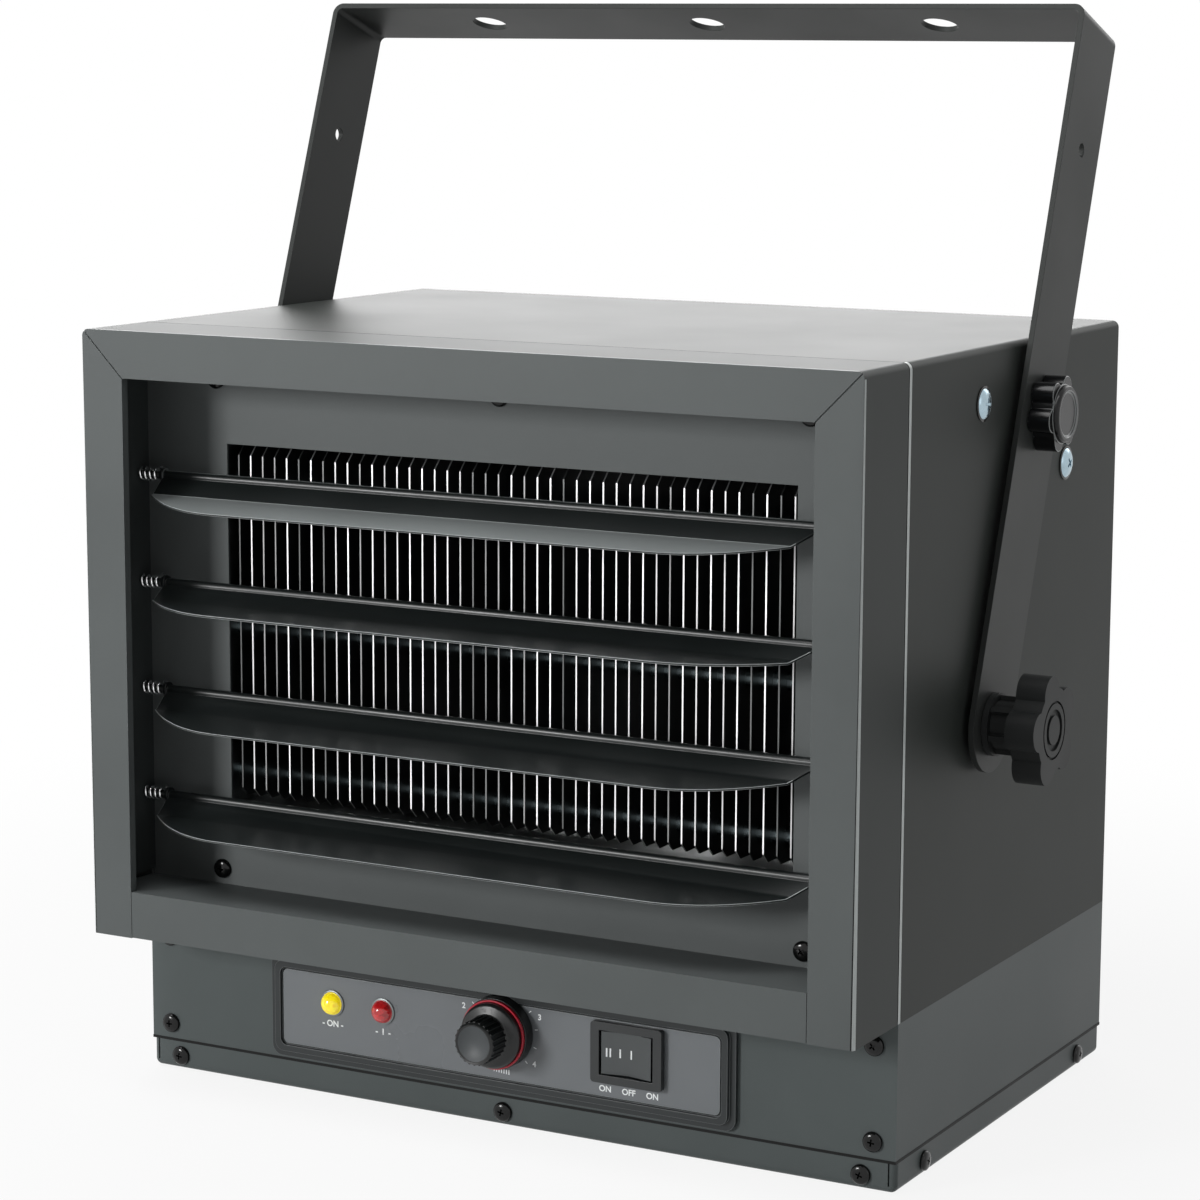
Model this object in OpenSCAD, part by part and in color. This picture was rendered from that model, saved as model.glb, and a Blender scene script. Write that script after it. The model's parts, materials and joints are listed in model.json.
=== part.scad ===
// Ceiling mounted fan heater: sheet-steel case with a front bezel, four tilting louvers, a finned element pack,
// a rear axial fan, a control box below and a tilting U bracket with clamp knobs. Millimetres, +Z up, the air
// leaves towards -Y. The origin is the centre of the flat base under the control box.

/* [Case] */
// Width of the case and of the bezel
case_w = 360; // [340:1:420]
// Depth from the bezel's front face to the back panel
case_d = 268; // [255:1:320]
// Height of the heated case above the control box
case_h = 261; // [255:1:300]
// Thickness of the steel sheet
sheet = 1.2; // [0.8:0.1:1.5]
// Outside radius of the bent edges of the case
case_bend = 3; // [2:0.5:5]
// Clearance where one sheet sits inside another
sheet_gap = 0.3; // [0.1:0.1:0.5]
// Width of the flanges inside the case's rear edge
case_flange = 12; // [8:1:16]

/* [Bezel] */
// Depth of the bezel in front of the case seam
bezel_d = 41; // [38:1:48]
// Width of the bezel's front strips
bezel_lip = 20; // [14:1:26]
// Depth of the strips' inner return
bezel_return = 4; // [2:0.5:8]
// Width of the dark seams between the case and the bezel
seam = 0.7; // [0.4:0.1:1]

/* [Control box] */
// Height of the control box
box_h = 70; // [66:1:90]
// Set-back of the control box's face from the bezel's front
box_inset = 42; // [40:1:50]
// Height of the bottom cover's upright flange
cover_h = 12.5; // [10:0.5:16]
// Outside radius of the bottom cover's bent edge
cover_bend = 3; // [2:0.5:4]
// Radius of the cable entry hole in the back of the control box
cable_r = 14; // [10:0.5:18]

/* [Controls] */
// Width of the raised control panel
panel_w = 225; // [215:1:245]
// Height of the raised control panel
panel_h = 46; // [44:1:48]
// Thickness of the raised control panel
panel_t = 4; // [3:0.5:6]
// Width of each of the two steps of the panel's rim
panel_step = 2.8; // [2:0.1:4]
// Depth of the panel's recess
panel_recess = 1.6; // [1:0.1:2]
// Height of the label plate in the recess
label_h = 33; // [28:0.5:34]
// Corner radius of the panel
panel_r = 5; // [3:0.5:8]
// Radius of the lamp lenses
lamp_r = 5; // [4:0.5:6]
// Radius of the fixed collar behind the thermostat knob
collar_r = 15.3; // [14:0.1:16]
// Length of the fixed collar
collar_l = 6; // [4:0.5:8]
// Radius of the thermostat knob's skirt
dial_r = 14; // [12:0.5:15]
// Radius of the thermostat knob's grip
grip_r = 9; // [7:0.5:10]
// Length of the thermostat knob
dial_l = 17; // [14:1:22]
// Width of the rocker switch's frame
switch_w = 33; // [28:1:36]
// Height of the rocker switch's frame
switch_h = 26; // [22:1:28]

/* [Louvers] */
// Distance between the louver pivots
louver_pitch = 46.7; // [42:0.1:50]
// Height of the lowest louver's pivot above the case floor
louver_low = 56.5; // [52:0.5:62]
// Distance of the pivots behind the bezel's front face
louver_back = 33; // [31:0.5:34]
// Width of a louver blade at its middle
blade_w = 32.5; // [26:0.5:33]
// Width of a louver blade at its left end
blade_end_w = 12; // [8:0.5:16]
// Length over which a blade's front edge sweeps back to its left end
left_sweep = 45; // [35:1:60]
// Length over which a blade's front edge sweeps back to its right end
right_sweep = 60; // [45:1:75]
// Depth of the crease pressed along a louver blade
crease_depth = 4.3; // [2:0.1:5]
// Thickness of a louver blade
blade_t = 1; // [0.8:0.1:1.4]
// Radius of the rolled bead along a louver's rear edge
bead_r = 2; // [1.6:0.1:2.4]
// Distance from a louver's left end to the side plate, which the spring fills
spring_room = 12; // [10:0.5:16]
// Distance from a louver's blade to the right side plate, which the bead spans
bead_reach = 28; // [16:0.5:34]
// Tilt of each blade below the horizontal, from the top one down
louver_tilts = [19, 12, 18.5, 17.5];
// Mean radius of the louver springs
spring_r = 2.7; // [2.6:0.1:3.2]
// Radius of the spring wire
wire_r = 0.5; // [0.3:0.05:0.6]
// Number of curls of a louver spring
spring_curls = 4.5; // [3:0.5:5]

/* [Air path] */
// Width of the opening in the baffle
mouth_w = 269; // [240:1:290]
// Height of the opening in the baffle
mouth_h = 155; // [130:1:160]
// Height of the opening's lower edge above the case floor
mouth_low = 56; // [50:1:60]
// Number of fins
fin_count = 44; // [30:1:50]
// Thickness of a fin
fin_t = 0.6; // [0.4:0.1:0.8]
// Depth of a fin
fin_d = 40; // [34:1:44]
// Chamfer of the fins' corners
fin_chamfer = 4; // [3:0.5:6]
// Radius of a heating rod
rod_r = 4; // [3:0.25:5]
// Distance between the two legs of a heating rod
rod_gap = 20; // [16:1:24]
// Distance of the outer heating rods from the ends of the fins
rod_inset = 13.5; // [10:0.5:20]
// Radius of the round fan opening in the back panel
fan_mouth_r = 104; // [102:1:106]
// Radius of the fan
fan_r = 99; // [85:1:100]
// Number of fan blades
fan_blades = 5; // [4:1:7]
// Pitch angle of the fan blades
fan_pitch = 26; // [20:1:30]
// Radius of the motor can
motor_r = 42; // [34:1:48]
// Length of the motor can
motor_l = 55; // [45:1:60]
// Spacing of the guard's wire rings
guard_pitch = 11; // [9:0.5:14]
// Radius of the guard's wires
guard_wire = 1.2; // [0.8:0.1:1.6]

/* [Bracket] */
// Tilt of the bracket from upright, its top towards the back
bracket_tilt = 20; // [12:1:28]
// Length of the bracket's legs from the pivot to the outside of the bar
leg_l = 301; // [290:1:340]
// Width of the bracket's strip
strip_w = 40; // [36:1:44]
// Thickness of the bracket's strip
strip_t = 2.4; // [2:0.1:3]
// Gap between a leg and the side of the case
leg_gap = 2.8; // [2.7:0.1:4]
// Height of the pivot above the case floor
pivot_h = 107.5; // [95:0.5:130]
// Distance of the pivot behind the bezel's front face
pivot_back = 120; // [110:1:150]
// Radius of the three holes in the bracket's bar
bar_hole_r = 8; // [5:0.5:10]
// Distance between the holes in the bracket's bar
bar_hole_pitch = 112; // [90:1:120]
// Radius of the small hole in each leg
leg_hole_r = 3; // [2:0.5:5]
// Distance of the small leg holes below the bar
leg_hole_drop = 57; // [45:1:70]
// Radius of the circle that the tilt lock's holes lie on
index_r = 131; // [125:1:140]
// Angle between the tilt lock's holes
index_step = 22; // [20:0.5:25]

/* [Knobs] */
// Radius of the pivot knobs over their lobes
pivot_knob_r = 23; // [20:0.5:25]
// Thickness of a pivot knob's head
pivot_knob_t = 12.5; // [10:0.5:16]
// Length of a pivot knob's hub
pivot_hub_l = 14; // [8:0.5:16]
// Radius of the lock knobs over their lobes
lock_knob_r = 16; // [13:0.5:18]
// Thickness of a lock knob
lock_knob_t = 12; // [8:0.5:14]
// Radius of the pivot studs
pivot_stud_r = 4; // [3:0.5:5]
// Radius of the lock studs and the index screws
lock_stud_r = 3; // [2.5:0.5:4]
// Running clearance on the radius of studs, pins and shafts
run_gap = 0.05; // [0.03:0.01:0.08]

/* [Fasteners] */
// Head radius of the black pan-head screws
pan_r = 4.2; // [3.4:0.1:4.4]
// Head height of the black pan-head screws
pan_h = 2.2; // [1.6:0.1:2.6]
// Shank radius of the black screws
shank_r = 1.7; // [1.4:0.1:2]
// Head radius of the zinc index screws
truss_r = 7.3; // [6:0.1:8]
// Head height of the zinc index screws
truss_h = 2.2; // [1.6:0.1:2.4]

/* [Hidden] */

$fn = 48;
eps = 0.01;                                  // overlap of cutting tools
touch = 0.3;                                 // seat gap between pieces that only meet
box_d = case_d - box_inset;                  // depth of the control box
front_y = -box_d / 2 - box_inset;            // bezel's front face
back_y = box_d / 2;                          // rear face
face_y = -box_d / 2;                         // face of the control box
seam_y = front_y + bezel_d;                  // front edge of the case
floor_z = box_h;                             // underside of the heated case
top_z = box_h + case_h;                      // top of the case
half_w = case_w / 2;
inner_w = case_w - 2 * sheet;                // between the side sheets
louvers = len(louver_tilts);
louver_y = front_y + louver_back;
carrier_gap = 1.8;                           // from the bezel's side sheet to the louver's side plate
carrier_t = 1.5;
carrier_x = half_w - sheet - carrier_gap - carrier_t;
blade_x0 = -carrier_x + spring_room + 1.2;
blade_x1 = carrier_x - bead_reach;
pin_r = 1.6;                                 // louver pivot pins
pin_tip = 1;                                 // length of a pin past its side plate
baffle_y = front_y + bezel_d - sheet - touch;
mouth_z = floor_z + mouth_low;
mouth_c = mouth_z + mouth_h / 2;
frame_y = baffle_y + sheet;                  // front of the element frame
frame_rim = 3;                               // frame walls outside the mouth
frame_flange = 12;
frame_tall = 34;                             // flange height above and below the mouth
frame_d = fin_d + 6;
fin_y = frame_y + 3;
fin_pitch = mouth_w / fin_count;
fin_top = 1;                                 // fins end this far below the mouth's upper edge
fin_low = 1;                                 // and this far above its lower edge
fin_h = mouth_h - fin_top - fin_low;
fin_c = mouth_c + (fin_low - fin_top) / 2;
rod_rows = 3;
rod_drop = 3;                                // the rods sit this far below the fins' middle
rod_pitch = (fin_h - 2 * rod_inset) / (rod_rows - 1);
rod_bend = rod_gap / 2;
fan_c = floor_z + case_h / 2;                // height of the fan's axis
hub_l = 22;
hub_r = 24;
fan_y = back_y - 36;                         // front of the fan's hub
motor_y = fan_y - 6 - motor_l;
mount_t = 2;
panel_x = -2.5;                              // centre of the control panel
panel_z = cover_h + 2.5 + panel_h / 2;
panel_y = face_y - panel_t;
label_t = 0.6;
recess_w = panel_w - 4 * panel_step;
recess_h = panel_h - 4 * panel_step;
label_y = panel_y + panel_recess - label_t;  // front face of the label plate
label_w = recess_w - 2;
label_z = panel_z - recess_h / 2 + label_h / 2 + 0.8;
lamp_inset = 32;                             // first lamp from the panel's left end
lamp_pitch = 25.5;
lamp_x = panel_x - panel_w / 2 + lamp_inset;
lamp_xs = [lamp_x, lamp_x + lamp_pitch];
control_z = label_z + 4.5;                   // lamps and thermostat
dial_offset = 3.5;                           // thermostat from the panel's middle
dial_x = panel_x + dial_offset;
switch_inset = 48.5;                         // switch from the panel's right end
switch_x = panel_x + panel_w / 2 - switch_inset;
switch_z = control_z - 1.5;
leg_x = half_w + leg_gap;                    // inner face of a leg
leg_out = leg_x + strip_t;
pivot = [0, front_y + pivot_back, floor_z + pivot_h];
index_angles = [bracket_tilt - index_step, bracket_tilt, bracket_tilt + index_step];
box_screw_x = half_w - 10;
cover_screw_x = half_w - 15;
baffle_screw_x = mouth_w / 2 + 5;
guard_r = fan_mouth_r + 3;
entry_x = -half_w + 60;                      // cable entry in the back of the control box
entry_z = box_h / 2 + 6;
entry_screw_x = cable_r + 13;                // its plate's screws from the hole

// ---------- shared shapes ----------

// Carries a flat shape standing in X and Z from y0 towards +Y
module along_y(y0, len) {
    translate([0, y0 + len, 0]) rotate([90, 0, 0]) linear_extrude(len) children();
}

// Carries a flat shape standing in Y and Z from x0 towards +X
module along_x(x0, len) {
    translate([x0, 0, 0]) rotate([90, 0, 90]) linear_extrude(len) children();
}

// Rectangle with true round corners, centred
module round_rect(w, h, r) {
    square([w - 2 * r, h], center = true);
    square([w, h - 2 * r], center = true);
    for (sx = [-1, 1], sy = [-1, 1])
        translate([sx * (w / 2 - r), sy * (h / 2 - r)]) circle(r);
}

// Round rod or cutter along X, Y or Z from a point
module rod_x(p, r, len) translate(p) rotate([0, 90, 0]) cylinder(r = r, h = len);
module rod_y(p, r, len) translate(p) rotate([-90, 0, 0]) cylinder(r = r, h = len);
module rod_z(p, r, len) translate(p) cylinder(r = r, h = len);

// Arch-shaped section of the case: top and two sides with bent corners, standing on the case floor
module arch(w, top, r) {
    translate([0, (top + floor_z) / 2])
        square([w, top - floor_z - 2 * r], center = true);
    translate([-w / 2, floor_z]) square([w, r]);
    translate([-w / 2 + r, floor_z]) square([w - 2 * r, top - floor_z]);
    for (s = [-1, 1]) translate([s * (w / 2 - r), top - r]) circle(r);
}

module arch_sheet() difference() {
    arch(case_w, top_z, case_bend);
    translate([0, -eps]) arch(case_w - 2 * sheet, top_z - sheet + eps, case_bend - sheet);
}

// Pan-head screw with its head's seat at the origin and the shank along +Y
module pan_screw(len) {
    rotate([90, 0, 0]) rotate_extrude() intersection() {
        translate([0, -(pan_r * pan_r - pan_h * pan_h) / (2 * pan_h)])
            circle((pan_r * pan_r + pan_h * pan_h) / (2 * pan_h), $fn = 96);
        square([pan_r, pan_h]);
    }
    rod_y([0, -eps, 0], shank_r, len + eps);
}

function pan_places_box() = [for (sx = [-1, 1], z = [cover_h + 8, box_h - 10]) [sx * box_screw_x, z]];
function pan_places_baffle() = concat(
    [for (sx = [-1, 1]) [sx * baffle_screw_x, mouth_z - frame_tall + 3]],
    [for (sx = [-1, 0, 1]) [sx * baffle_screw_x, mouth_z + mouth_h + frame_tall - 6.5]]);
back_edge = case_flange / 2 + sheet;
function pan_places_back() = [for (sx = [-1, 1], z = [floor_z + 30, fan_c, top_z - 30])
    [sx * (half_w - back_edge), z]];
function entry_places() = [for (s = [-1, 1]) [entry_x + s * entry_screw_x, entry_z]];
guard_tab_r = guard_r + 9;
function guard_places() = [for (a = [45:90:315]) [guard_tab_r * cos(a), fan_c + guard_tab_r * sin(a)]];
cover_screw_z = cover_h / 2;
cover_side_y = box_d * 0.375;

// ---------- case ----------

module case_wrap() color("#444744") difference() {
    union() {
        along_y(seam_y + seam, case_d - bezel_d - seam) arch_sheet();
        // inward flange that the back panel is screwed to
        along_y(back_y - 2 * sheet, sheet) difference() {
            arch(case_w - sheet, top_z - sheet / 2, case_bend);
            translate([0, -eps])
                arch(inner_w - 2 * case_flange, top_z - sheet - case_flange, case_bend);
        }
    }
    // pivot and index holes through both sides
    for (sx = [-1, 1]) {
        translate([sx * half_w, pivot[1], pivot[2]]) {
            rod_x([-sheet - 1, 0, 0], pivot_stud_r + run_gap, 2 * sheet + 2);
            for (a = index_angles) rotate([-a, 0, 0])
                rod_x([-sheet - 1, 0, index_r], lock_stud_r + run_gap, 2 * sheet + 2);
        }
    }
    for (p = pan_places_back()) rod_y([p[0], back_y - 4 * sheet, p[1]], shank_r + run_gap, 4 * sheet + 1);
}

module case_floor() color("#3c3f3e") difference() {
    floor_w = inner_w - 2 * sheet_gap;
    union() {
        translate([-floor_w / 2, seam_y + seam, floor_z])
            cube([floor_w, case_d - bezel_d - seam - 2 * sheet - sheet_gap, sheet]);
        // upright flanges inside the side sheets
        for (sx = [-1, 1]) translate([sx * (floor_w / 2 - sheet / 2), seam_y + seam, floor_z])
            translate([-sheet / 2, 0, 0])
                cube([sheet, case_d - bezel_d - seam - 2 * sheet - sheet_gap, case_flange]);
    }
    // wire pass between the case and the control box
    rod_z([half_w - 60, 20, floor_z - 1], 12, sheet + 2);
}

// Flat back sheet with a round opening
inlet_bend = 6;
inlet_l = 20;
inlet_flange_r = guard_tab_r - shank_r - 0.8;
module back_panel() color("#3f4240") difference() {
    along_y(back_y - sheet, sheet) difference() {
        arch(inner_w - 2 * sheet_gap, top_z - sheet - sheet_gap, case_bend);
        translate([-case_w, floor_z - 1]) square([2 * case_w, 1 + sheet_gap]);
    }
    rod_y([0, back_y - sheet - 1, fan_c], fan_mouth_r + inlet_bend, sheet + 2, $fn = 120);
    for (p = concat(pan_places_back(), guard_places()))
        rod_y([p[0], back_y - 2 * sheet, p[1]], shank_r + run_gap, 3 * sheet);
}

// Bell-mouth ring welded behind the back sheet: flat flange, quarter bend and a collar round the fan
module inlet_ring() color("#3f4240") translate([0, back_y - sheet, fan_c]) rotate([90, 0, 0])
    rotate_extrude($fn = 120) {
        translate([fan_mouth_r + inlet_bend, 0])
            square([inlet_flange_r - fan_mouth_r - inlet_bend, sheet]);
        translate([fan_mouth_r, inlet_bend]) square([sheet, inlet_l - inlet_bend]);
        translate([fan_mouth_r + inlet_bend, inlet_bend]) intersection() {
            difference() { circle(inlet_bend); circle(inlet_bend - sheet); }
            translate([-inlet_bend, -inlet_bend]) square(inlet_bend);
        }
    }

// Wire guard of rings on four radial stays, with a looped foot at each stay
module guard_ring(r) translate([0, back_y + 0.05 + 2.6 * guard_wire, fan_c]) rotate([90, 0, 0])
    rotate_extrude($fn = 96) translate([r, 0]) circle(guard_wire, $fn = 16);

module fan_guard() color("#2a2c2c") difference() {
    union() {
        for (r = [2 * guard_pitch:guard_pitch:guard_r]) guard_ring(r);
        for (a = [45:90:315]) translate([0, back_y + guard_wire + 0.05, fan_c]) rotate([0, -a, 0]) {
            rod_x([2 * guard_pitch - guard_wire, 0, 0], guard_wire, guard_tab_r - 2 * guard_pitch);
            rod_y([guard_tab_r, -guard_wire, 0], pan_r + 1.6, 2 * guard_wire);
        }
        // solid disc in the guard's middle
        rod_y([0, back_y + guard_wire, fan_c], 2 * guard_pitch, 2 * guard_wire, $fn = 64);
    }
    for (p = guard_places()) rod_y([p[0], back_y - 1, p[1]], shank_r + run_gap, 4 * guard_wire + 2);
}

// ---------- bezel ----------

module bezel_frame() color("#585c5c") difference() {
    union() {
        along_y(front_y, bezel_d) arch_sheet();
        // face strips: top and both sides, with a short return at their inner edges
        along_y(front_y, sheet) difference() {
            arch(case_w - sheet, top_z - sheet / 2, case_bend);
            translate([0, -eps]) arch(case_w - 2 * bezel_lip, top_z - bezel_lip, eps);
        }
        along_y(front_y, bezel_return) difference() {
            arch(case_w - 2 * bezel_lip + 2 * sheet, top_z - bezel_lip + sheet, eps);
            translate([0, -eps]) arch(case_w - 2 * bezel_lip, top_z - bezel_lip, eps);
        }
        // rear step, joggled inwards so that it slips inside the case
        along_y(seam_y - 2 * sheet, 2 * sheet) step_section(0);
        along_y(seam_y - eps, step_l) step_section(2 * sheet_gap);
    }
    // mitre seams across both top corners
    for (sx = [-1, 1]) translate([sx * half_w, front_y - 1, top_z]) rotate([0, sx * 45, 0])
        translate([-seam / 2, 0, -bezel_lip * sqrt(2) - sheet]) cube([seam, 1 + sheet / 2, 3 * bezel_lip]);
}

step_l = 8;
module step_section(slack) difference() {
    arch(inner_w + (slack > 0 ? -slack : eps), top_z - sheet + (slack > 0 ? -slack / 2 : eps), case_bend - sheet);
    translate([0, -eps]) arch(inner_w - 2 * sheet - 2 * sheet_gap, top_z - 2 * sheet - sheet_gap, case_bend - sheet);
    translate([-case_w, floor_z - 1]) square([2 * case_w, 2 * case_flange]);
}

// Separate lower strip: a channel whose upper leg runs back to the baffle
module bezel_sill() color("#565a5a") {
    sill_w = case_w - 2 * bezel_lip - 2 * touch;
    wide = inner_w - 2 * sheet - 4 * sheet_gap;
    along_x(-sill_w / 2, sill_w) {
        translate([front_y, floor_z + touch]) square([sheet, bezel_lip]);
        sill_legs(front_y);
    }
    // behind the side strips the legs reach the side sheets
    along_x(-wide / 2, wide) sill_legs(front_y + bezel_return + touch);
}

module sill_legs(y0) {
    drop = 2;
    low = floor_z + touch;
    translate([y0, low]) square([baffle_y - y0 - touch, sheet]);
    intersection() {
        polygon([[front_y, low + bezel_lip], [front_y, low + bezel_lip - sheet],
            [baffle_y - touch, low + bezel_lip - sheet - drop], [baffle_y - touch, low + bezel_lip - drop]]);
        translate([y0, low]) square([baffle_y - y0, bezel_lip]);
    }
}

module baffle_plate() color("#4c5050") difference() {
    plate_w = inner_w - 2 * sheet - 4 * sheet_gap;
    along_y(baffle_y, sheet) difference() {
        arch(plate_w, top_z - 2 * sheet - 2 * sheet_gap, case_bend);
        translate([-case_w, floor_z - 1]) square([2 * case_w, 1 + touch]);
        translate([-mouth_w / 2, mouth_z]) square([mouth_w, mouth_h]);
    }
    for (p = pan_places_baffle()) rod_y([p[0], baffle_y - 1, p[1]], shank_r + run_gap, sheet + 2);
}

// ---------- louvers ----------

function louver_z(i) = floor_z + louver_low + (louvers - 1 - i) * louver_pitch;

module louver_carrier(sx) color("#1a2020") difference() {
    low = floor_z + bezel_lip + 1;
    tall = case_h - 2 * bezel_lip - 1;
    y0 = front_y + bezel_return + 1;
    along_x(sx > 0 ? carrier_x : -carrier_x - carrier_t, carrier_t)
        translate([y0, low]) square([baffle_y - y0, tall]);
    for (i = [0:louvers - 1])
        rod_x([sx * carrier_x - carrier_t - 1, louver_y, louver_z(i)], pin_r + run_gap, 2 * carrier_t + 2);
}
module louver_carrier_left() louver_carrier(-1);
module louver_carrier_right() louver_carrier(1);

// Outline of a blade's front edge: straight in the middle, sweeping back to both ends
tip_w = 3;
sweep_power = 2.1;
sweep_steps = 14;
function sweep_x(k) = sin(90 * k / sweep_steps);
function sweep_w(k, end_w) = end_w + (blade_w - end_w) * (1 - pow(1 - sweep_x(k), sweep_power));
function edge_points() = concat(
    [for (k = [0:sweep_steps]) [blade_x0 + left_sweep * sweep_x(k), -sweep_w(k, blade_end_w)]],
    [for (k = [sweep_steps:-1:0]) [blade_x1 - right_sweep * sweep_x(k), -sweep_w(k, tip_w)]]);

// Section of a blade: a short flat at the bead, a steep one down to the crease and the wide front flat
crease_at = [0, 0.14, 0.34, 1];
crease_h = [0, -0.36 * crease_depth, -crease_depth, 0];
function blade_line(up) = [for (k = [0:3]) [-blade_w * crease_at[k], crease_h[k] + up * blade_t / 2]];
module blade_section() polygon(concat(blade_line(1), [for (k = [3:-1:0]) blade_line(-1)[k]]));

// One louver in place: rolled bead, creased blade cut to its outline, and pivot pins
module louver(i) color("#2c3130") translate([0, louver_y, louver_z(i)]) {
    rotate([louver_tilts[i], 0, 0]) intersection() {
        along_x(blade_x0 - 1, blade_x1 - blade_x0 + 2) blade_section();
        translate([0, 0, -2 * crease_depth]) linear_extrude(3 * crease_depth)
            polygon(concat([[blade_x1, blade_t], [blade_x0, blade_t]], edge_points()));
    }
    bead_x0 = blade_x0 - 0.4;
    rod_x([bead_x0, 0, 0], bead_r, carrier_x - touch - bead_x0, $fn = 32);
    // collar that the spring pushes against
    rod_x([bead_x0 - 0.8, 0, 0], spring_r + wire_r, 1.6, $fn = 32);
    rod_x([-carrier_x - carrier_t - pin_tip, 0, 0], pin_r,
        2 * (carrier_x + carrier_t + pin_tip), $fn = 32);
}
module louver_1() louver(0);
module louver_2() louver(1);
module louver_3() louver(2);
module louver_4() louver(3);

// Helical spring: one unbroken tube whose ends bend out of the coil and run straight for one wire thickness
rings_per_curl = 8;
wire_sides = 6;
end_bend = 0.9;
end_steps = 3;
spring_l = spring_room - 2 * touch;
coil_l = spring_l - 2 * (2 * wire_r + end_bend);
coil_steps = spring_curls * rings_per_curl;
// A route point is [distance along the axis, angle round it]
function bend_turn(t) = (1 - cos(t)) * end_bend / spring_r * 180 / PI;
coil_start = bend_turn(90);
coil_end = coil_start + 360 * spring_curls;
coil_route = concat(
    [[0, 0], [2 * wire_r, 0]],
    [for (k = [1:end_steps - 1]) let (t = 90 * k / end_steps)
        [2 * wire_r + end_bend * sin(t), bend_turn(t)]],
    [for (k = [0:coil_steps]) [2 * wire_r + end_bend + coil_l * k / coil_steps,
        coil_start + 360 * k / rings_per_curl]],
    [for (k = [end_steps - 1:-1:1]) let (t = 90 * k / end_steps)
        [spring_l - 2 * wire_r - end_bend * sin(t), coil_end + coil_start - bend_turn(t)]],
    [[spring_l - 2 * wire_r, coil_end + coil_start], [spring_l, coil_end + coil_start]]);
route_n = len(coil_route);
function coil_point(k) = let (p = coil_route[k]) [p[0], spring_r * cos(p[1]), spring_r * sin(p[1])];
function unit(v) = v / norm(v);
function coil_dir(k) = k <= 0 || k >= route_n - 1 ? [1, 0, 0]
    : unit(unit(coil_point(k) - coil_point(k - 1)) + unit(coil_point(k + 1) - coil_point(k)));
function coil_ring(k) = let (
    a = coil_route[k][1], d = coil_dir(k), out = [0, cos(a), sin(a)], side = unit(cross(d, out)))
    [for (j = [0:wire_sides - 1]) let (b = 360 * j / wire_sides)
        coil_point(k) + wire_r * (cos(b) * out + sin(b) * side)];
function wall(k, j, n) = [k * n + j, (k + 1) * n + j, k * n + (j + 1) % n, (k + 1) * n + (j + 1) % n];
coil_pts = [for (k = [0:route_n - 1]) each coil_ring(k)];
coil_faces = concat(
    [for (j = [1:wire_sides - 2]) [0, j, j + 1]],
    [for (k = [0:route_n - 2], j = [0:wire_sides - 1]) let (q = wall(k, j, wire_sides)) [q[0], q[1], q[2]]],
    [for (k = [0:route_n - 2], j = [0:wire_sides - 1]) let (q = wall(k, j, wire_sides)) [q[2], q[1], q[3]]],
    [for (j = [1:wire_sides - 2]) let (e = (route_n - 1) * wire_sides) [e, e + j + 1, e + j]]);
coil_gap = min([for (i = [0:route_n - 1], j = [0:route_n - 1])
    if (abs(coil_route[j][1] - coil_route[i][1]) > 180) norm(coil_point(i) - coil_point(j)) - 2 * wire_r]);
echo(least_gap_between_spring_turns = coil_gap);

module louver_springs() color("#c9d2d6") for (i = [0:louvers - 1])
    translate([-carrier_x + touch, louver_y, louver_z(i)]) polyhedron(coil_pts, coil_faces);

// ---------- heating element ----------

module element_frame() color("#8b9090") difference() {
    frame_w = mouth_w + 2 * frame_rim;
    frame_h = mouth_h + 2 * frame_rim;
    translate([0, 0, mouth_c]) {
        along_y(frame_y, frame_d) difference() {
            square([frame_w + 2 * sheet, frame_h + 2 * sheet], center = true);
            square([frame_w, frame_h], center = true);
        }
        along_y(frame_y, sheet) difference() {
            square([frame_w + 2 * frame_flange, mouth_h + 2 * frame_tall], center = true);
            square([frame_w, frame_h], center = true);
        }
    }
    for (p = pan_places_baffle()) rod_y([p[0], frame_y - 1, p[1]], shank_r + run_gap, sheet + 2);
    for (k = [0:rod_rows - 1], s = [-1, 1])
        rod_x([-half_w, rod_y0(s), rod_z0(k)], rod_r + run_gap, case_w);
}

function rod_y0(s) = fin_y + fin_d / 2 + s * rod_bend;
function rod_z0(k) = fin_c - rod_drop + (k - (rod_rows - 1) / 2) * rod_pitch;

// Fin plates with chamfered corners, each pierced by the rods, tied by a strip above and below
module fin_profile() difference() {
    c = fin_chamfer;
    translate([fin_y, fin_c - fin_h / 2]) polygon([[c, 0], [fin_d - c, 0], [fin_d, c],
        [fin_d, fin_h - c], [fin_d - c, fin_h], [c, fin_h], [0, fin_h - c], [0, c]]);
    for (k = [0:rod_rows - 1], s = [-1, 1])
        translate([rod_y0(s), rod_z0(k)]) circle(rod_r + run_gap, $fn = 24);
}

module fin_pack() color("#9ea4a4") {
    for (k = [0:fin_count - 1])
        along_x((k - (fin_count - 1) / 2) * fin_pitch - fin_t / 2, fin_t) fin_profile();
    tie_l = (fin_count - 1) * fin_pitch + fin_t;
    tie_t = 1;
    for (s = [-1, 1]) translate([-tie_l / 2, fin_y + fin_d / 2, fin_c + s * (fin_h - tie_t) / 2 - tie_t / 2])
        cube([tie_l, fin_d / 2 - fin_chamfer, tie_t]);
}

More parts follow.
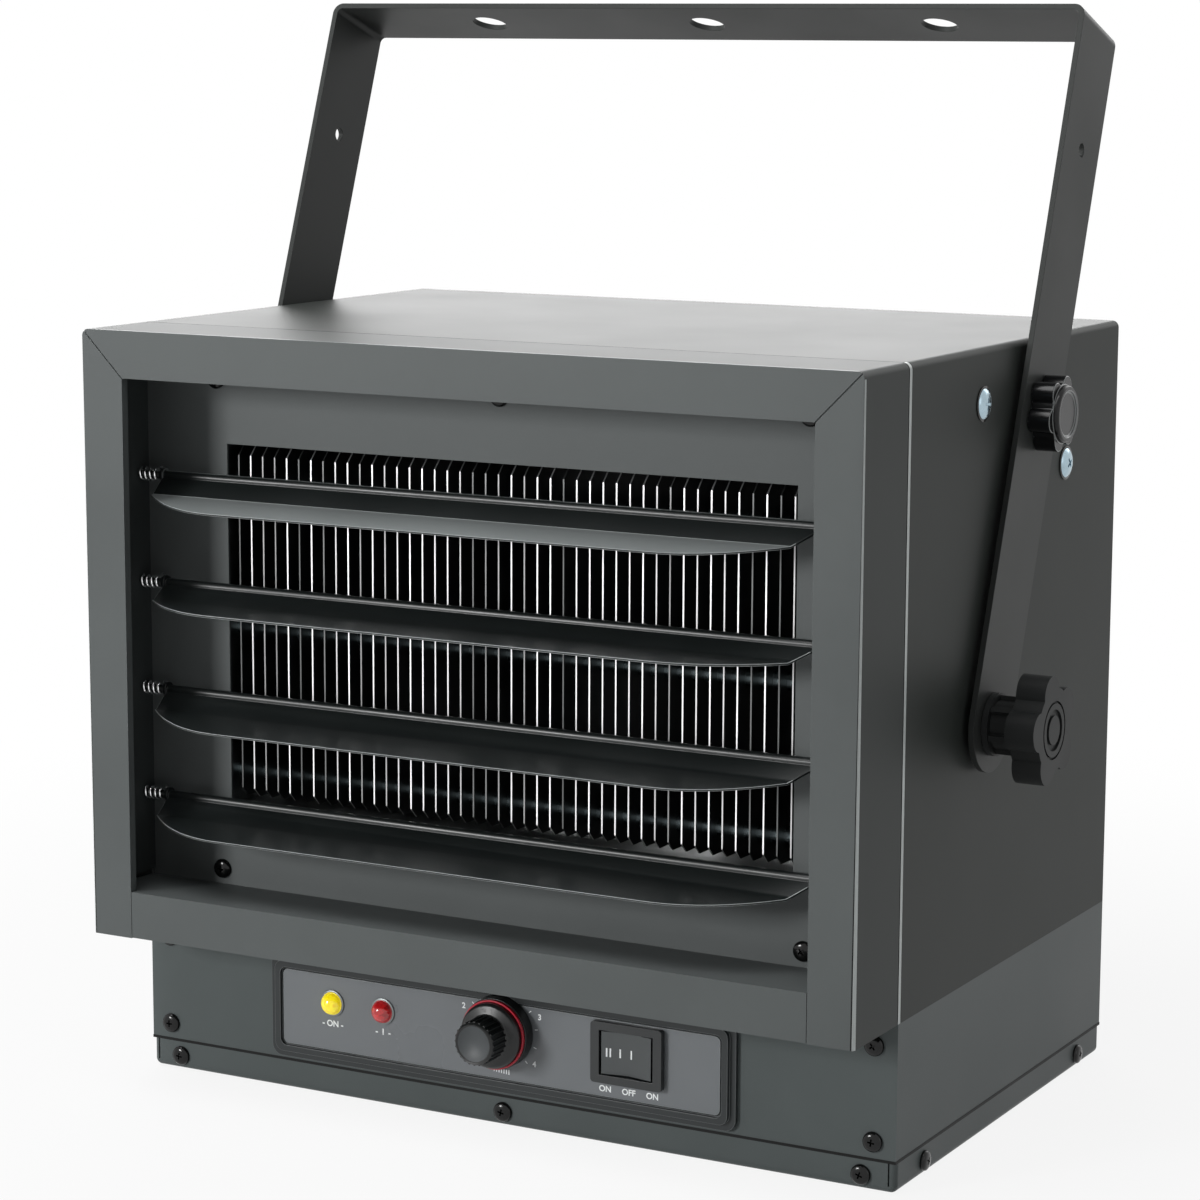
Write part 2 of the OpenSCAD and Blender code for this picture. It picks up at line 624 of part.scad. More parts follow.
// Three hairpin rods: legs through the fins, a bend at the left and terminal pins at the right
rod_left = -mouth_w / 2 - frame_rim - sheet - 3;
rod_right = mouth_w / 2 + frame_rim + sheet + 4;
terminal_r = 1.5;
module heating_rods() color("#6f7474") for (k = [0:rod_rows - 1]) {
    for (s = [-1, 1]) {
        rod_x([rod_left, rod_y0(s), rod_z0(k)], rod_r, rod_right - rod_left, $fn = 32);
        rod_x([rod_right - eps, rod_y0(s), rod_z0(k)], terminal_r, 9, $fn = 20);
    }
    translate([rod_left, fin_y + fin_d / 2, rod_z0(k)]) rotate([0, 0, 90])
        rotate_extrude(angle = 180, $fn = 48) translate([rod_bend, 0]) circle(rod_r, $fn = 32);
}

module limit_switch() color("#b9b2a0") translate([mouth_w / 2 - 30, frame_y + frame_d + 20, floor_z + sheet]) {
    rod_z([0, 0, 0], 8, 6);
    rod_z([0, 0, 6 - eps], 6.5, 5);
    for (s = [-1, 1]) translate([s * 3 - 0.4, -3, 11 - 2 * eps]) cube([0.8, 6, 7]);
    translate([-12, -4, 0]) cube([24, 8, 1]);
}

// ---------- fan ----------

module motor_mount() color("#7d8282") difference() {
    bar_h = 46;
    ear_d = 18;
    union() {
        translate([-inner_w / 2 + sheet_gap, motor_y - mount_t, fan_c - bar_h / 2])
            cube([inner_w - 2 * sheet_gap, mount_t, bar_h]);
        for (sx = [-1, 1]) translate([sx * (inner_w / 2 - sheet_gap - mount_t / 2) - mount_t / 2,
                motor_y - ear_d, fan_c - bar_h / 2]) cube([mount_t, ear_d, bar_h]);
    }
    rod_y([0, motor_y - mount_t - 1, fan_c], 14, mount_t + 2);
    for (p = motor_bolt_places()) rod_y([p[0], motor_y - mount_t - 1, p[1]], shank_r + run_gap, mount_t + 2);
}
function motor_bolt_places() = [for (sx = [-1, 1], sz = [-1, 1])
    [sx * motor_r * 0.62, fan_c + sz * motor_r * 0.38]];

module motor_bolts() color("#b8bfc2") for (p = motor_bolt_places())
    translate([p[0], motor_y - mount_t, p[1]]) pan_screw(mount_t + 5);

// Round motor can with two end shields, cooling slots and a bearing boss at each end
module fan_motor() color("#5d6262") difference() {
    union() {
        rod_y([0, motor_y, fan_c], motor_r, motor_l, $fn = 72);
        rod_y([0, motor_y - 6, fan_c], 11, motor_l + 10);
        for (y = [motor_y + 8, motor_y + motor_l - 12])
            rod_y([0, y, fan_c], motor_r + 1.5, 4, $fn = 72);
    }
    rod_y([0, motor_y - 10, fan_c], fan_shaft_r + run_gap, motor_l + 20);
    for (p = motor_bolt_places()) rod_y([p[0], motor_y - 1, p[1]], shank_r + run_gap, 8);
    for (a = [0:30:330]) translate([0, motor_y + motor_l / 2 - 2, fan_c]) rotate([0, a, 0])
        translate([motor_r - 2, -9, -2]) cube([4, 18, 4]);
}
fan_shaft_r = 4;

module fan_shaft() color("#c4cacc") rod_y([0, motor_y - 8, fan_c], fan_shaft_r, fan_y + hub_l - motor_y + 10);

// Fan with cambered blades: each is a slice of a tube wall, cut to a swept paddle outline
camber_r = 95;
blade_wall = 1.6;
blade_arc = 58;
module fan_blade() rotate([0, 0, 0]) intersection() {
    translate([0, 0, hub_l / 2]) rotate([fan_pitch, 0, 0]) translate([0, 0, -camber_r]) rotate([0, 90, 0])
        difference() {
            cylinder(r = camber_r + blade_wall, h = fan_r + 1, $fn = 96);
            translate([0, 0, -1]) cylinder(r = camber_r, h = fan_r + 3, $fn = 96);
        }
    translate([0, 0, -8]) linear_extrude(hub_l + 16) intersection() {
        circle(fan_r, $fn = 120);
        polygon([[hub_r - 3, -15], [fan_r * 0.55, -34], [fan_r * 1.1, -42], [fan_r * 1.1, 40],
            [fan_r * 0.55, 30], [hub_r - 3, 13]]);
    }
}

module fan_rotor() color("#3a3d3d") difference() {
    translate([0, fan_y + hub_l, fan_c]) rotate([90, 0, 0]) {
        difference() {
            cylinder(r = hub_r, h = hub_l, $fn = 64);
            translate([0, 0, 3]) cylinder(r = hub_r - 2.5, h = hub_l, $fn = 64);
        }
        cylinder(r = 9, h = hub_l);
        for (b = [0:fan_blades - 1]) rotate([0, 0, b * 360 / fan_blades]) fan_blade();
    }
    rod_y([0, fan_y - 20, fan_c], fan_shaft_r, hub_l + 40);
}

// ---------- control box ----------

box_low = cover_h + 0.3;
box_inner = sheet + sheet_gap;

module control_box() color("#4b4f4e") difference() {
    union() {
        translate([0, 0, box_low]) linear_extrude(box_h - box_low) difference() {
            square([case_w, box_d], center = true);
            square([case_w - 2 * sheet, box_d - 2 * sheet], center = true);
        }
        // stepped lip inside the bottom cover
        translate([0, 0, cover_bend + touch]) linear_extrude(box_low + 6 - cover_bend - touch) difference() {
            round_rect(case_w - 2 * box_inner, box_d - 2 * box_inner, cover_bend - box_inner);
            square([case_w - 2 * box_inner - 2 * sheet, box_d - 2 * box_inner - 2 * sheet], center = true);
        }
        translate([0, 0, box_low]) linear_extrude(6) difference() {
            square([case_w - sheet, box_d - sheet], center = true);
            square([case_w - 2 * box_inner - sheet, box_d - 2 * box_inner - sheet], center = true);
        }
        // inward flange under the case floor
        translate([0, 0, box_h - sheet]) linear_extrude(sheet) difference() {
            square([case_w - sheet, box_d - sheet], center = true);
            square([case_w - 30, box_d - 30], center = true);
        }
    }
    for (p = pan_places_box()) rod_y([p[0], face_y - 1, p[1]], shank_r + run_gap, 20);
    for (x = lamp_xs) rod_y([x, face_y - 1, control_z], lamp_r + touch, 10);
    rod_y([dial_x, face_y - 1, control_z], 6, 10);
    translate([switch_x - switch_w / 2 + 1.5, face_y - 1, switch_z - switch_h / 2 + 1.5])
        cube([switch_w - 3, 10, switch_h - 3]);
    // window behind which the cable entry plate sits
    translate([entry_x, 0, entry_z]) along_y(back_y - 4 * sheet, 8 * sheet)
        square([2 * entry_win_x, 2 * entry_win_z], center = true);
    for (p = entry_places()) rod_y([p[0], back_y - 4 * sheet, p[1]], shank_r + run_gap, 8 * sheet);
    cover_screw_cuts();
}

// Plate with the cable entry hole, screwed inside the back of the control box
entry_win_x = cable_r + 8;
entry_win_z = cable_r + 3;
module entry_plate() color("#9a9f9f") difference() {
    translate([entry_x, 0, entry_z]) along_y(back_y - 2 * sheet, sheet)
        round_rect(2 * entry_screw_x + 10, 2 * entry_win_z + 8, 2);
    rod_y([entry_x, back_y - 3 * sheet, entry_z], cable_r, 3 * sheet, $fn = 72);
    for (p = entry_places()) rod_y([p[0], back_y - 3 * sheet, p[1]], shank_r + run_gap, 3 * sheet);
}

module cover_screw_cuts() {
    for (x = [-cover_screw_x, 0, cover_screw_x], s = [-1, 1])
        rod_y([x, s > 0 ? back_y - 8 : face_y - 1, cover_screw_z], shank_r + run_gap, 9);
    for (y = [-cover_side_y, cover_side_y], s = [-1, 1])
        rod_x([s > 0 ? half_w - 8 : -half_w - 1, y, cover_screw_z], shank_r + run_gap, 9);
}

// Shallow tray with a bent lower edge and mitred corner gaps
module bottom_cover() color("#484c4b") difference() {
    union() {
        along_y(face_y + cover_bend, box_d - 2 * cover_bend) cover_section(case_w);
        along_x(-half_w + cover_bend, case_w - 2 * cover_bend) cover_section(box_d);
        for (sx = [-1, 1], sy = [-1, 1])
            translate([sx * (half_w - cover_bend), sy * (box_d / 2 - cover_bend), 0]) intersection() {
                difference() {
                    union() {
                        translate([0, 0, cover_bend]) sphere(cover_bend);
                        translate([0, 0, cover_bend]) cylinder(r = cover_bend, h = cover_h - cover_bend);
                    }
                    translate([0, 0, cover_bend]) sphere(cover_bend - sheet);
                    translate([0, 0, cover_bend]) cylinder(r = cover_bend - sheet, h = cover_h);
                }
                translate([sx > 0 ? 0 : -cover_bend, sy > 0 ? 0 : -cover_bend, 0])
                    cube([cover_bend, cover_bend, cover_h]);
            }
    }
    for (sx = [-1, 1], sy = [-1, 1])
        translate([sx * (half_w - cover_bend), sy * (box_d / 2 + sheet), cover_bend])
            translate([-seam / 2, -2 * sheet - 1, 0]) cube([seam, 4 * sheet + 2, cover_h]);
    cover_screw_cuts();
}

// Tray section of a given width: flat base, rounded lower corners and upright flanges
module cover_section(w) difference() {
    union() {
        translate([-w / 2, cover_bend]) square([w, cover_h - cover_bend]);
        translate([-w / 2 + cover_bend, 0]) square([w - 2 * cover_bend, cover_h]);
        for (s = [-1, 1]) translate([s * (w / 2 - cover_bend), cover_bend]) circle(cover_bend);
    }
    translate([-w / 2 + sheet, cover_bend]) square([w - 2 * sheet, cover_h]);
    translate([-w / 2 + cover_bend, sheet]) square([w - 2 * cover_bend, cover_h]);
    for (s = [-1, 1]) translate([s * (w / 2 - cover_bend), cover_bend]) circle(cover_bend - sheet);
}

// ---------- controls ----------

// Raised panel with a stepped rim and a recess for the label plate
module control_panel() color("#3d4142") difference() {
    translate([panel_x, 0, panel_z]) {
        along_y(face_y - panel_t / 2, panel_t / 2) round_rect(panel_w, panel_h, panel_r);
        along_y(panel_y, panel_t) round_rect(panel_w - 2 * panel_step, panel_h - 2 * panel_step, panel_r - 1);
    }
    translate([panel_x, 0, panel_z]) along_y(panel_y - 1, 1 + panel_recess)
        round_rect(recess_w, recess_h, panel_r - 2);
    // relief round the thermostat's collar, which is taller than the recess
    rod_y([dial_x, panel_y - 1, control_z], collar_r + touch, 1 + panel_recess);
    panel_cuts();
}

module panel_cuts() {
    for (x = lamp_xs) rod_y([x, panel_y - 1, control_z], lamp_r - 1, panel_t + 2);
    rod_y([dial_x, panel_y - 1, control_z], 6, panel_t + 2);
    translate([switch_x - switch_w / 2 + 1.5, panel_y - 1, switch_z - switch_h / 2 + 1.5])
        cube([switch_w - 3, panel_t + 2, switch_h - 3]);
}

module panel_label() color("#737678") difference() {
    translate([panel_x, 0, label_z]) along_y(label_y, label_t) round_rect(label_w, label_h, panel_r - 2.5);
    panel_cuts();
}

// Domed lens with a flange on the label and a barrel through the panel
module lamp(x) translate([x, label_y, control_z]) rotate([90, 0, 0]) {
    dome_h = 4;
    flange_t = 1;
    dome_r = (lamp_r * lamp_r + dome_h * dome_h) / (2 * dome_h);
    rotate_extrude() intersection() {
        translate([0, flange_t + dome_h - dome_r]) circle(dome_r, $fn = 96);
        translate([0, flange_t]) square([lamp_r - 0.3, dome_h]);
    }
    cylinder(r = lamp_r, h = flange_t + eps);
    translate([0, 0, -panel_t - 8]) cylinder(r = lamp_r - 1 - touch, h = panel_t + 8 + eps);
}
module amber_lamp() color("#e0b000") lamp(lamp_xs[0]);
module red_lamp() color("#a01010") lamp(lamp_xs[1]);

bush_r = 4.5;
spindle_r = 3;
module thermostat_body() color("#222424") difference() {
    union() {
        translate([dial_x - 20, face_y + sheet + touch + 1, control_z - 15]) cube([40, 26, 30]);
        rod_y([dial_x, label_y + touch, control_z], bush_r, face_y + 5 - label_y);
        // capillary tail to the sensing bulb
        rod_x([dial_x + 19, face_y + 18, control_z], 1.2, 22);
    }
    rod_y([dial_x, label_y - 1, control_z], spindle_r + run_gap, 16);
}

module thermostat_collar() color("#161818") difference() {
    rod_y([dial_x, label_y - collar_l, control_z], collar_r, collar_l, $fn = 72);
    rod_y([dial_x, label_y - collar_l - 1, control_z], spindle_r + 1, collar_l + 2);
}

// Knob with a round skirt, a ribbed grip and a spindle
knob_y = label_y - collar_l - touch;
ring_l = 1.5;
module thermostat_knob() color("#191b1b") {
    ribs = 24;
    cone_l = 1.2;
    skirt_l = 4.5;
    translate([dial_x, knob_y, control_z]) rotate([90, 0, 0]) {
        rotate_extrude($fn = 72) polygon([[0, 0], [dial_r, 0], [dial_r, skirt_l - cone_l],
            [dial_r - cone_l, skirt_l], [grip_r + 1, skirt_l + 0.6], [grip_r, skirt_l + 1.6],
            [grip_r, dial_l - 0.8], [grip_r - 0.8, dial_l], [0, dial_l]]);
        for (k = [0:ribs - 1]) rotate([0, 0, k * 360 / ribs]) translate([grip_r - 0.1, 0, skirt_l])
            cylinder(r = 0.55, h = dial_l - skirt_l - 1, $fn = 16);
    }
    rod_y([dial_x, knob_y - eps, control_z], spindle_r, collar_l + 9);
}

// Coloured ring pressed on the rear edge of the skirt
module thermostat_ring() color("#b03040") difference() {
    rod_y([dial_x, knob_y - ring_l, control_z], dial_r + 0.9, ring_l, $fn = 72);
    rod_y([dial_x, knob_y - ring_l - 1, control_z], dial_r, ring_l + 2, $fn = 72);
}

// Switch frame with a deep well and a body that reaches into the box
frame_lip = 3;
well_w = switch_w - 8;
well_h = switch_h - 7;
tip_r = 1.5;                                 // rocker's pivot pins
module switch_body() color("#1c1e1e") difference() {
    body_h = switch_h - 3 - 2 * touch;
    translate([switch_x, 0, switch_z]) {
        along_y(label_y - frame_lip, frame_lip) round_rect(switch_w, switch_h, 1.5);
        along_y(label_y - eps, 24) square([switch_w - 3 - 2 * touch, body_h], center = true);
    }
    translate([switch_x - well_w / 2, label_y - frame_lip - 1, switch_z - well_h / 2])
        cube([well_w, frame_lip + 13, well_h]);
    rod_z([switch_x, label_y + 3, switch_z - well_h / 2 - 1.3], tip_r + run_gap, well_h + 2.6);
}

// Rocker that tips about an upright pin
module switch_rocker() color("#2b2e2e") {
    w = well_w - 2;
    h = well_h - 1;
    translate([switch_x, label_y + 3, switch_z]) {
        translate([0, 0, -h / 2]) linear_extrude(h)
            polygon([[-w / 2, -5.6], [0, -3.6], [w / 2, -5.6], [w / 2 - 2, 2], [-w / 2 + 2, 2]]);
        rod_z([0, 0, -well_h / 2 - 1], tip_r, well_h + 2);
    }
}

// ---------- wiring parts under the case floor ----------

module terminal_block() color("#d8d4c8") {
    ways = 3;
    way_w = 17;
    block_d = 26;
    block_h = 24;
    wall_t = 2;
    well_r = 4;
    top = box_h - sheet;
    translate([-half_w + 90, back_y - 73, 0]) difference() {
        union() {
            translate([0, 0, top - block_h]) cube([ways * way_w, block_d, box_h - top + block_h]);
            for (k = [0:ways]) translate([k * way_w - wall_t / 2, -wall_t, top - block_h - 6])
                cube([wall_t, block_d + 2 * wall_t, box_h - top + block_h + 6]);
        }
        for (k = [0:ways - 1], y = [block_d * 0.25, block_d * 0.75])
            rod_z([(k + 0.5) * way_w, y, top - block_h - 1], well_r, 10);
    }
}

module power_relay() color("#26282a") translate([half_w - 160, back_y - 93, 0]) {
    relay_w = 45;
    relay_d = 48;
    relay_h = 44;
    foot = 4;
    poles = 3;
    pole_pitch = 13;
    translate([0, 0, box_h - relay_h]) cube([relay_w, relay_d, relay_h]);
    for (k = [0:poles - 1]) translate([foot + k * pole_pitch, -3, box_h - relay_h + foot])
        cube([9, relay_d + 6, 8]);
    translate([-foot, 2 * foot, box_h - 6]) cube([relay_w + 2 * foot, relay_d - 4 * foot, 6]);
}

// ---------- bracket ----------

bend_r = 2.5;
module bracket_place() translate(pivot) rotate([-bracket_tilt, 0, 0]) children();

module bracket() color("#3e403f") bracket_place() difference() {
    intersection() {
        along_y(-strip_w / 2, strip_w) difference() {
            translate([0, (leg_l - strip_w) / 2]) round_rect(2 * leg_out, leg_l + strip_w, bend_r + strip_t);
            translate([0, (leg_l - strip_w) / 2 - strip_t])
                round_rect(2 * leg_x, leg_l + strip_w, bend_r);
        }
        along_x(-leg_out - 1, 2 * leg_out + 2) {
            circle(strip_w / 2, $fn = 96);
            translate([-strip_w / 2, 0]) square([strip_w, leg_l + 1]);
        }
    }
    for (k = [-1:1]) rod_z([k * bar_hole_pitch, 0, leg_l - strip_t - 1], bar_hole_r, strip_t + 2);
    rod_x([-leg_out - 1, 0, leg_l - leg_hole_drop], leg_hole_r, 2 * leg_out + 2);
    rod_x([-leg_out - 1, 0, 0], pivot_stud_r + run_gap, 2 * leg_out + 2);
    rod_x([-leg_out - 1, 0, index_r], lock_stud_r + run_gap, 2 * leg_out + 2);
}

// Spacers that hold the legs off the case
module pivot_spacers() color("#202222") for (sx = [-1, 1]) difference() {
    spacer_l = leg_gap - 0.2;
    spacer_r = 11;
    rod_x([sx > 0 ? half_w : -half_w - spacer_l, pivot[1], pivot[2]], spacer_r, spacer_l);
    rod_x([sx > 0 ? half_w - 1 : -half_w - spacer_l - 1, pivot[1], pivot[2]],
        pivot_stud_r + run_gap, spacer_l + 2);
}

module hex_nut(r, h, bore) difference() {
    cylinder(r = r, h = h, $fn = 6);
    translate([0, 0, -1]) cylinder(r = bore, h = h + 2);
}

module pivot_nuts() color("#9aa0a2") for (sx = [-1, 1])
    translate([sx * (half_w - sheet), pivot[1], pivot[2]]) rotate([0, -sx * 90, 0])
        hex_nut(pivot_stud_r * 1.9, pivot_stud_r * 1.6, pivot_stud_r + run_gap);

module index_nuts() color("#9aa0a2") for (sx = [-1, 1], a = index_angles)
    translate([sx * (half_w - sheet), pivot[1], pivot[2]]) rotate([-a, 0, 0]) translate([0, 0, index_r])
        rotate([0, -sx * 90, 0]) hex_nut(lock_stud_r * 1.9, lock_stud_r * 1.6, lock_stud_r + run_gap);

// Lobed knob along +Z, its seat at the origin
pivot_lobes = 5;
lock_lobes = 6;
module lobes(r, n, lobe_r) difference() {
    union() {
        circle(r - lobe_r * 0.7);
        for (k = [0:n - 1]) rotate(k * 360 / n) translate([r - lobe_r, 0]) circle(lobe_r, $fn = 32);
    }
    for (k = [0:n - 1]) rotate((k + 0.5) * 360 / n) translate([r * 1.02, 0]) circle(lobe_r * 0.75, $fn = 32);
}

module pivot_knob(sx) color("#1f2121") translate([sx * (leg_out + touch), pivot[1], pivot[2]])
    rotate([0, sx * 90, 0]) rotate([0, 0, 18]) {
        washer_r = 13;
        washer_t = 2.5;
        stud_l = leg_gap + strip_t + touch + sheet + 7;
        difference() {
            union() {
                cylinder(r = washer_r, h = washer_t);
                cylinder(r = 10, h = pivot_hub_l + eps);
                for (k = [0:5]) rotate([0, 0, k * 60]) translate([9, -1.2, 0]) cube([3, 2.4, pivot_hub_l]);
                translate([0, 0, pivot_hub_l]) linear_extrude(pivot_knob_t) lobes(pivot_knob_r, pivot_lobes, 8);
            }
            // turned grooves in the face
            translate([0, 0, pivot_hub_l + pivot_knob_t - 1]) rotate_extrude($fn = 64) {
                translate([6, 0]) square([2.5, 2]);
                translate([11, 0]) square([1, 2]);
            }
        }
        translate([0, 0, -stud_l]) cylinder(r = pivot_stud_r, h = stud_l + eps);
    }
module pivot_knob_left() pivot_knob(-1);
module pivot_knob_right() pivot_knob(1);

module lock_knob(sx) color("#151717") bracket_place() translate([sx * leg_out, 0, index_r])
    rotate([0, sx * 90, 0]) {
        cap_r = lock_knob_r * 0.75;
        translate([0, 0, touch]) {
            linear_extrude(lock_knob_t * 0.8) lobes(lock_knob_r, lock_lobes, 5);
            rotate_extrude($fn = 64) polygon([[0, 0], [cap_r, 0], [cap_r, lock_knob_t - 1],
                [cap_r - 1, lock_knob_t], [cap_r - 2.4, lock_knob_t], [cap_r - 3, lock_knob_t - 0.8],
                [0, lock_knob_t - 0.8]]);
        }
        translate([0, 0, -strip_t]) cylinder(r = lock_stud_r, h = strip_t + touch + eps);
    }
module lock_knob_left() lock_knob(-1);
module lock_knob_right() lock_knob(1);

// ---------- fasteners ----------

// Zinc truss-head screws in the two index holes that the lock doesn't use
module index_screws() color("#b9c2c8") for (sx = [-1, 1], a = [index_angles[0], index_angles[2]])
    translate([sx * half_w, pivot[1], pivot[2]]) rotate([-a, 0, 0]) translate([0, 0, index_r])
        rotate([0, sx * 90, 0]) {
            crown_r = (truss_r * truss_r + truss_h * truss_h) / (2 * truss_h);
            rotate_extrude() intersection() {
                translate([0, truss_h - crown_r]) circle(crown_r, $fn = 120);
                square([truss_r, truss_h]);
            }
            translate([0, 0, -sheet - lock_stud_r * 1.6]) cylinder(r = lock_stud_r, h = sheet + lock_stud_r * 1.6 + eps);
        }

module baffle_screws() color("#101212") for (p = pan_places_baffle())
    translate([p[0], baffle_y, p[1]]) pan_screw(2 * sheet + 3);

module box_screws() color("#101212") for (p = pan_places_box())
    translate([p[0], face_y, p[1]]) pan_screw(6);

module cover_screws() color("#101212") {
    for (x = [-cover_screw_x, 0, cover_screw_x]) {
        translate([x, face_y, cover_screw_z]) pan_screw(6);
        translate([x, back_y, cover_screw_z]) rotate([0, 0, 180]) pan_screw(6);
    }
    for (y = [-cover_side_y, cover_side_y], s = [-1, 1])
        translate([s * half_w, y, cover_screw_z]) rotate([0, 0, s * 90]) pan_screw(6);
}

module back_screws() color("#101212") for (p = concat(pan_places_back(), entry_places()))
    translate([p[0], back_y, p[1]]) rotate([0, 0, 180]) pan_screw(2 * sheet + 3);

module guard_screws() color("#101212") for (p = guard_places())
    translate([p[0], back_y + 2 * guard_wire + 0.05, p[1]]) rotate([0, 0, 180]) pan_screw(2 * guard_wire + sheet + 3);

case_wrap();
case_floor();
back_panel();
inlet_ring();
fan_guard();
bezel_frame();
bezel_sill();
baffle_plate();
louver_carrier_left();
louver_carrier_right();
louver_1();
louver_2();
louver_3();
louver_4();
louver_springs();
element_frame();
fin_pack();
heating_rods();
fan_motor();
motor_mount();
motor_bolts();
fan_shaft();
fan_rotor();
limit_switch();
control_box();
entry_plate();
bottom_cover();
control_panel();
panel_label();
amber_lamp();
red_lamp();
thermostat_body();
thermostat_collar();
thermostat_knob();
thermostat_ring();
switch_body();
switch_rocker();
terminal_block();
power_relay();
bracket();
pivot_spacers();
pivot_nuts();
pivot_knob_left();
pivot_knob_right();
lock_knob_left();
lock_knob_right();
index_screws();
index_nuts();
baffle_screws();
box_screws();
cover_screws();
back_screws();
guard_screws();
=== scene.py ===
# %% [markdown]
# # A ceiling mounted fan heater, dressed over its CAD frame
# The CAD model already holds every sheet, screw and joint of this heater at its real size. This notebook
# gives it its looks: powder coat, moulded plastic, zinc plate, rounded sheet edges, real screw heads and
# wound springs. The frame is loaded first, because every later piece takes its place from it and nothing
# is fitted by eye.

# %% Load the frame
import json
import math

import bmesh
import bpy
from mathutils import Matrix, Vector

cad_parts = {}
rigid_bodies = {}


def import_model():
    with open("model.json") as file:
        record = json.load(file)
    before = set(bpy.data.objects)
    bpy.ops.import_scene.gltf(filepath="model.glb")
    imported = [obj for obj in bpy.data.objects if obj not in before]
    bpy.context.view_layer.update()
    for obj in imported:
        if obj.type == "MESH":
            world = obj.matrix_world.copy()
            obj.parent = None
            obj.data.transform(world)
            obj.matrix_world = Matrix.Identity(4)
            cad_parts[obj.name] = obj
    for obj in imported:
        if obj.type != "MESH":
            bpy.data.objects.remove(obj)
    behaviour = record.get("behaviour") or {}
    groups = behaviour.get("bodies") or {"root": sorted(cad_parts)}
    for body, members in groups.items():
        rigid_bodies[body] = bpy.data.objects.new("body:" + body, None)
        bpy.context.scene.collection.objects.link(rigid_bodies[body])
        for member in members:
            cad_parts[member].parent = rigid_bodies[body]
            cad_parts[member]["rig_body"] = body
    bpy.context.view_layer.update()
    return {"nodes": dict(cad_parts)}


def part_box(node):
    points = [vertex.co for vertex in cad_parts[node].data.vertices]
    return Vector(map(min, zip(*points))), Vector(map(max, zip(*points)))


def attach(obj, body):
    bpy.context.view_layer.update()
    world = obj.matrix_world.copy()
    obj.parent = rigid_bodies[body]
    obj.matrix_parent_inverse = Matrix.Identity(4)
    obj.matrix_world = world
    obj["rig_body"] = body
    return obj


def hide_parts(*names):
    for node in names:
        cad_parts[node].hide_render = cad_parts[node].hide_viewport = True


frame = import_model()
nodes = frame["nodes"]

# %% [markdown]
# ## The camera
# The photograph was taken from the right, a little above the middle, with a long lens that hardly bends
# the sheet edges. Such a camera could be aimed with a constraint, but the fixed place, heading and roll
# below can be read and changed one by one. The three axes of the camera are built from the heading and
# become its matrix.

# %% Place the camera
heading = math.radians(28.69)
rise = math.radians(9.35)
roll = math.radians(0.24)
camera_place = Vector((0.7112, -1.3295, 0.4565))

back = Vector((math.sin(heading) * math.cos(rise), -math.cos(heading) * math.cos(rise), math.sin(rise)))
level = Vector((math.cos(heading), math.sin(heading), 0))
upright = back.cross(level)
right = level * math.cos(roll) + upright * math.sin(roll)
up = upright * math.cos(roll) - level * math.sin(roll)

bpy.ops.object.camera_add()
camera = bpy.context.object
camera.matrix_world = Matrix.Translation(camera_place) @ Matrix((right, up, back)).transposed().to_4x4()
camera.data.sensor_width = 36
camera.data.lens = 104.28
bpy.context.scene.camera = camera
print("camera at", [round(v, 3) for v in camera.location])

# %% [markdown]
# ## Light, floor and background
# The heater was shown on plain white under soft light. Adding lamps until the floor clips would burn out
# the paint as well, so the white comes from the floor and the sky themselves: rays from the camera, from
# gloss and through lenses see white, and all other rays see a quiet grey. Near the heater the floor keeps
# some of its real light, so a soft shadow stays on it, and further out it fades into the white of the
# sky.

# %% Colours as a screen shows them
def screen(red, green, blue):
    """A colour as a screen shows it, from 0 to 255, as the linear values that a shader takes."""
    return [((value / 255 + 0.055) / 1.055) ** 2.4 for value in (red, green, blue)] + [1]


print("a screen's middle grey is", round(screen(128, 128, 128)[0], 3))

# %% A helper that adds one shader node
def put(tree, kind, inputs=(), **settings):
    """Adds a shader node, sets its fields, and sets or links its inputs by name."""
    node = tree.nodes.new("ShaderNode" + kind)
    for field, value in settings.items():
        setattr(node, field, value)
    for socket, value in dict(inputs).items():
        if isinstance(value, bpy.types.NodeSocket):
            tree.links.new(value, node.inputs[socket])
        else:
            node.inputs[socket].default_value = value
    return node


def rays_that_see_white(tree):
    """1 for rays from the camera, from gloss and through clear pieces, and 0 for the others."""
    path = put(tree, "LightPath").outputs
    some = put(tree, "Math", {0: path["Is Camera Ray"], 1: path["Is Glossy Ray"]}, operation="ADD")
    more = put(tree, "Math", {0: some.outputs[0], 1: path["Is Transmission Ray"]},
               operation="ADD", use_clamp=True)
    return more.outputs[0]


# %% The sky
ambient = 0.2
world = bpy.data.worlds.new("soft_studio")
bpy.context.scene.world = world
world.use_nodes = True
tree = world.node_tree
strength = put(tree, "MapRange", {"Value": rays_that_see_white(tree), "To Min": ambient, "To Max": 1.0})
sky = tree.nodes["Background"]
sky.inputs["Color"].default_value = (1, 1, 1, 1)
tree.links.new(strength.outputs[0], sky.inputs["Strength"])
print("sky gives", ambient, "of a full white to the paint")

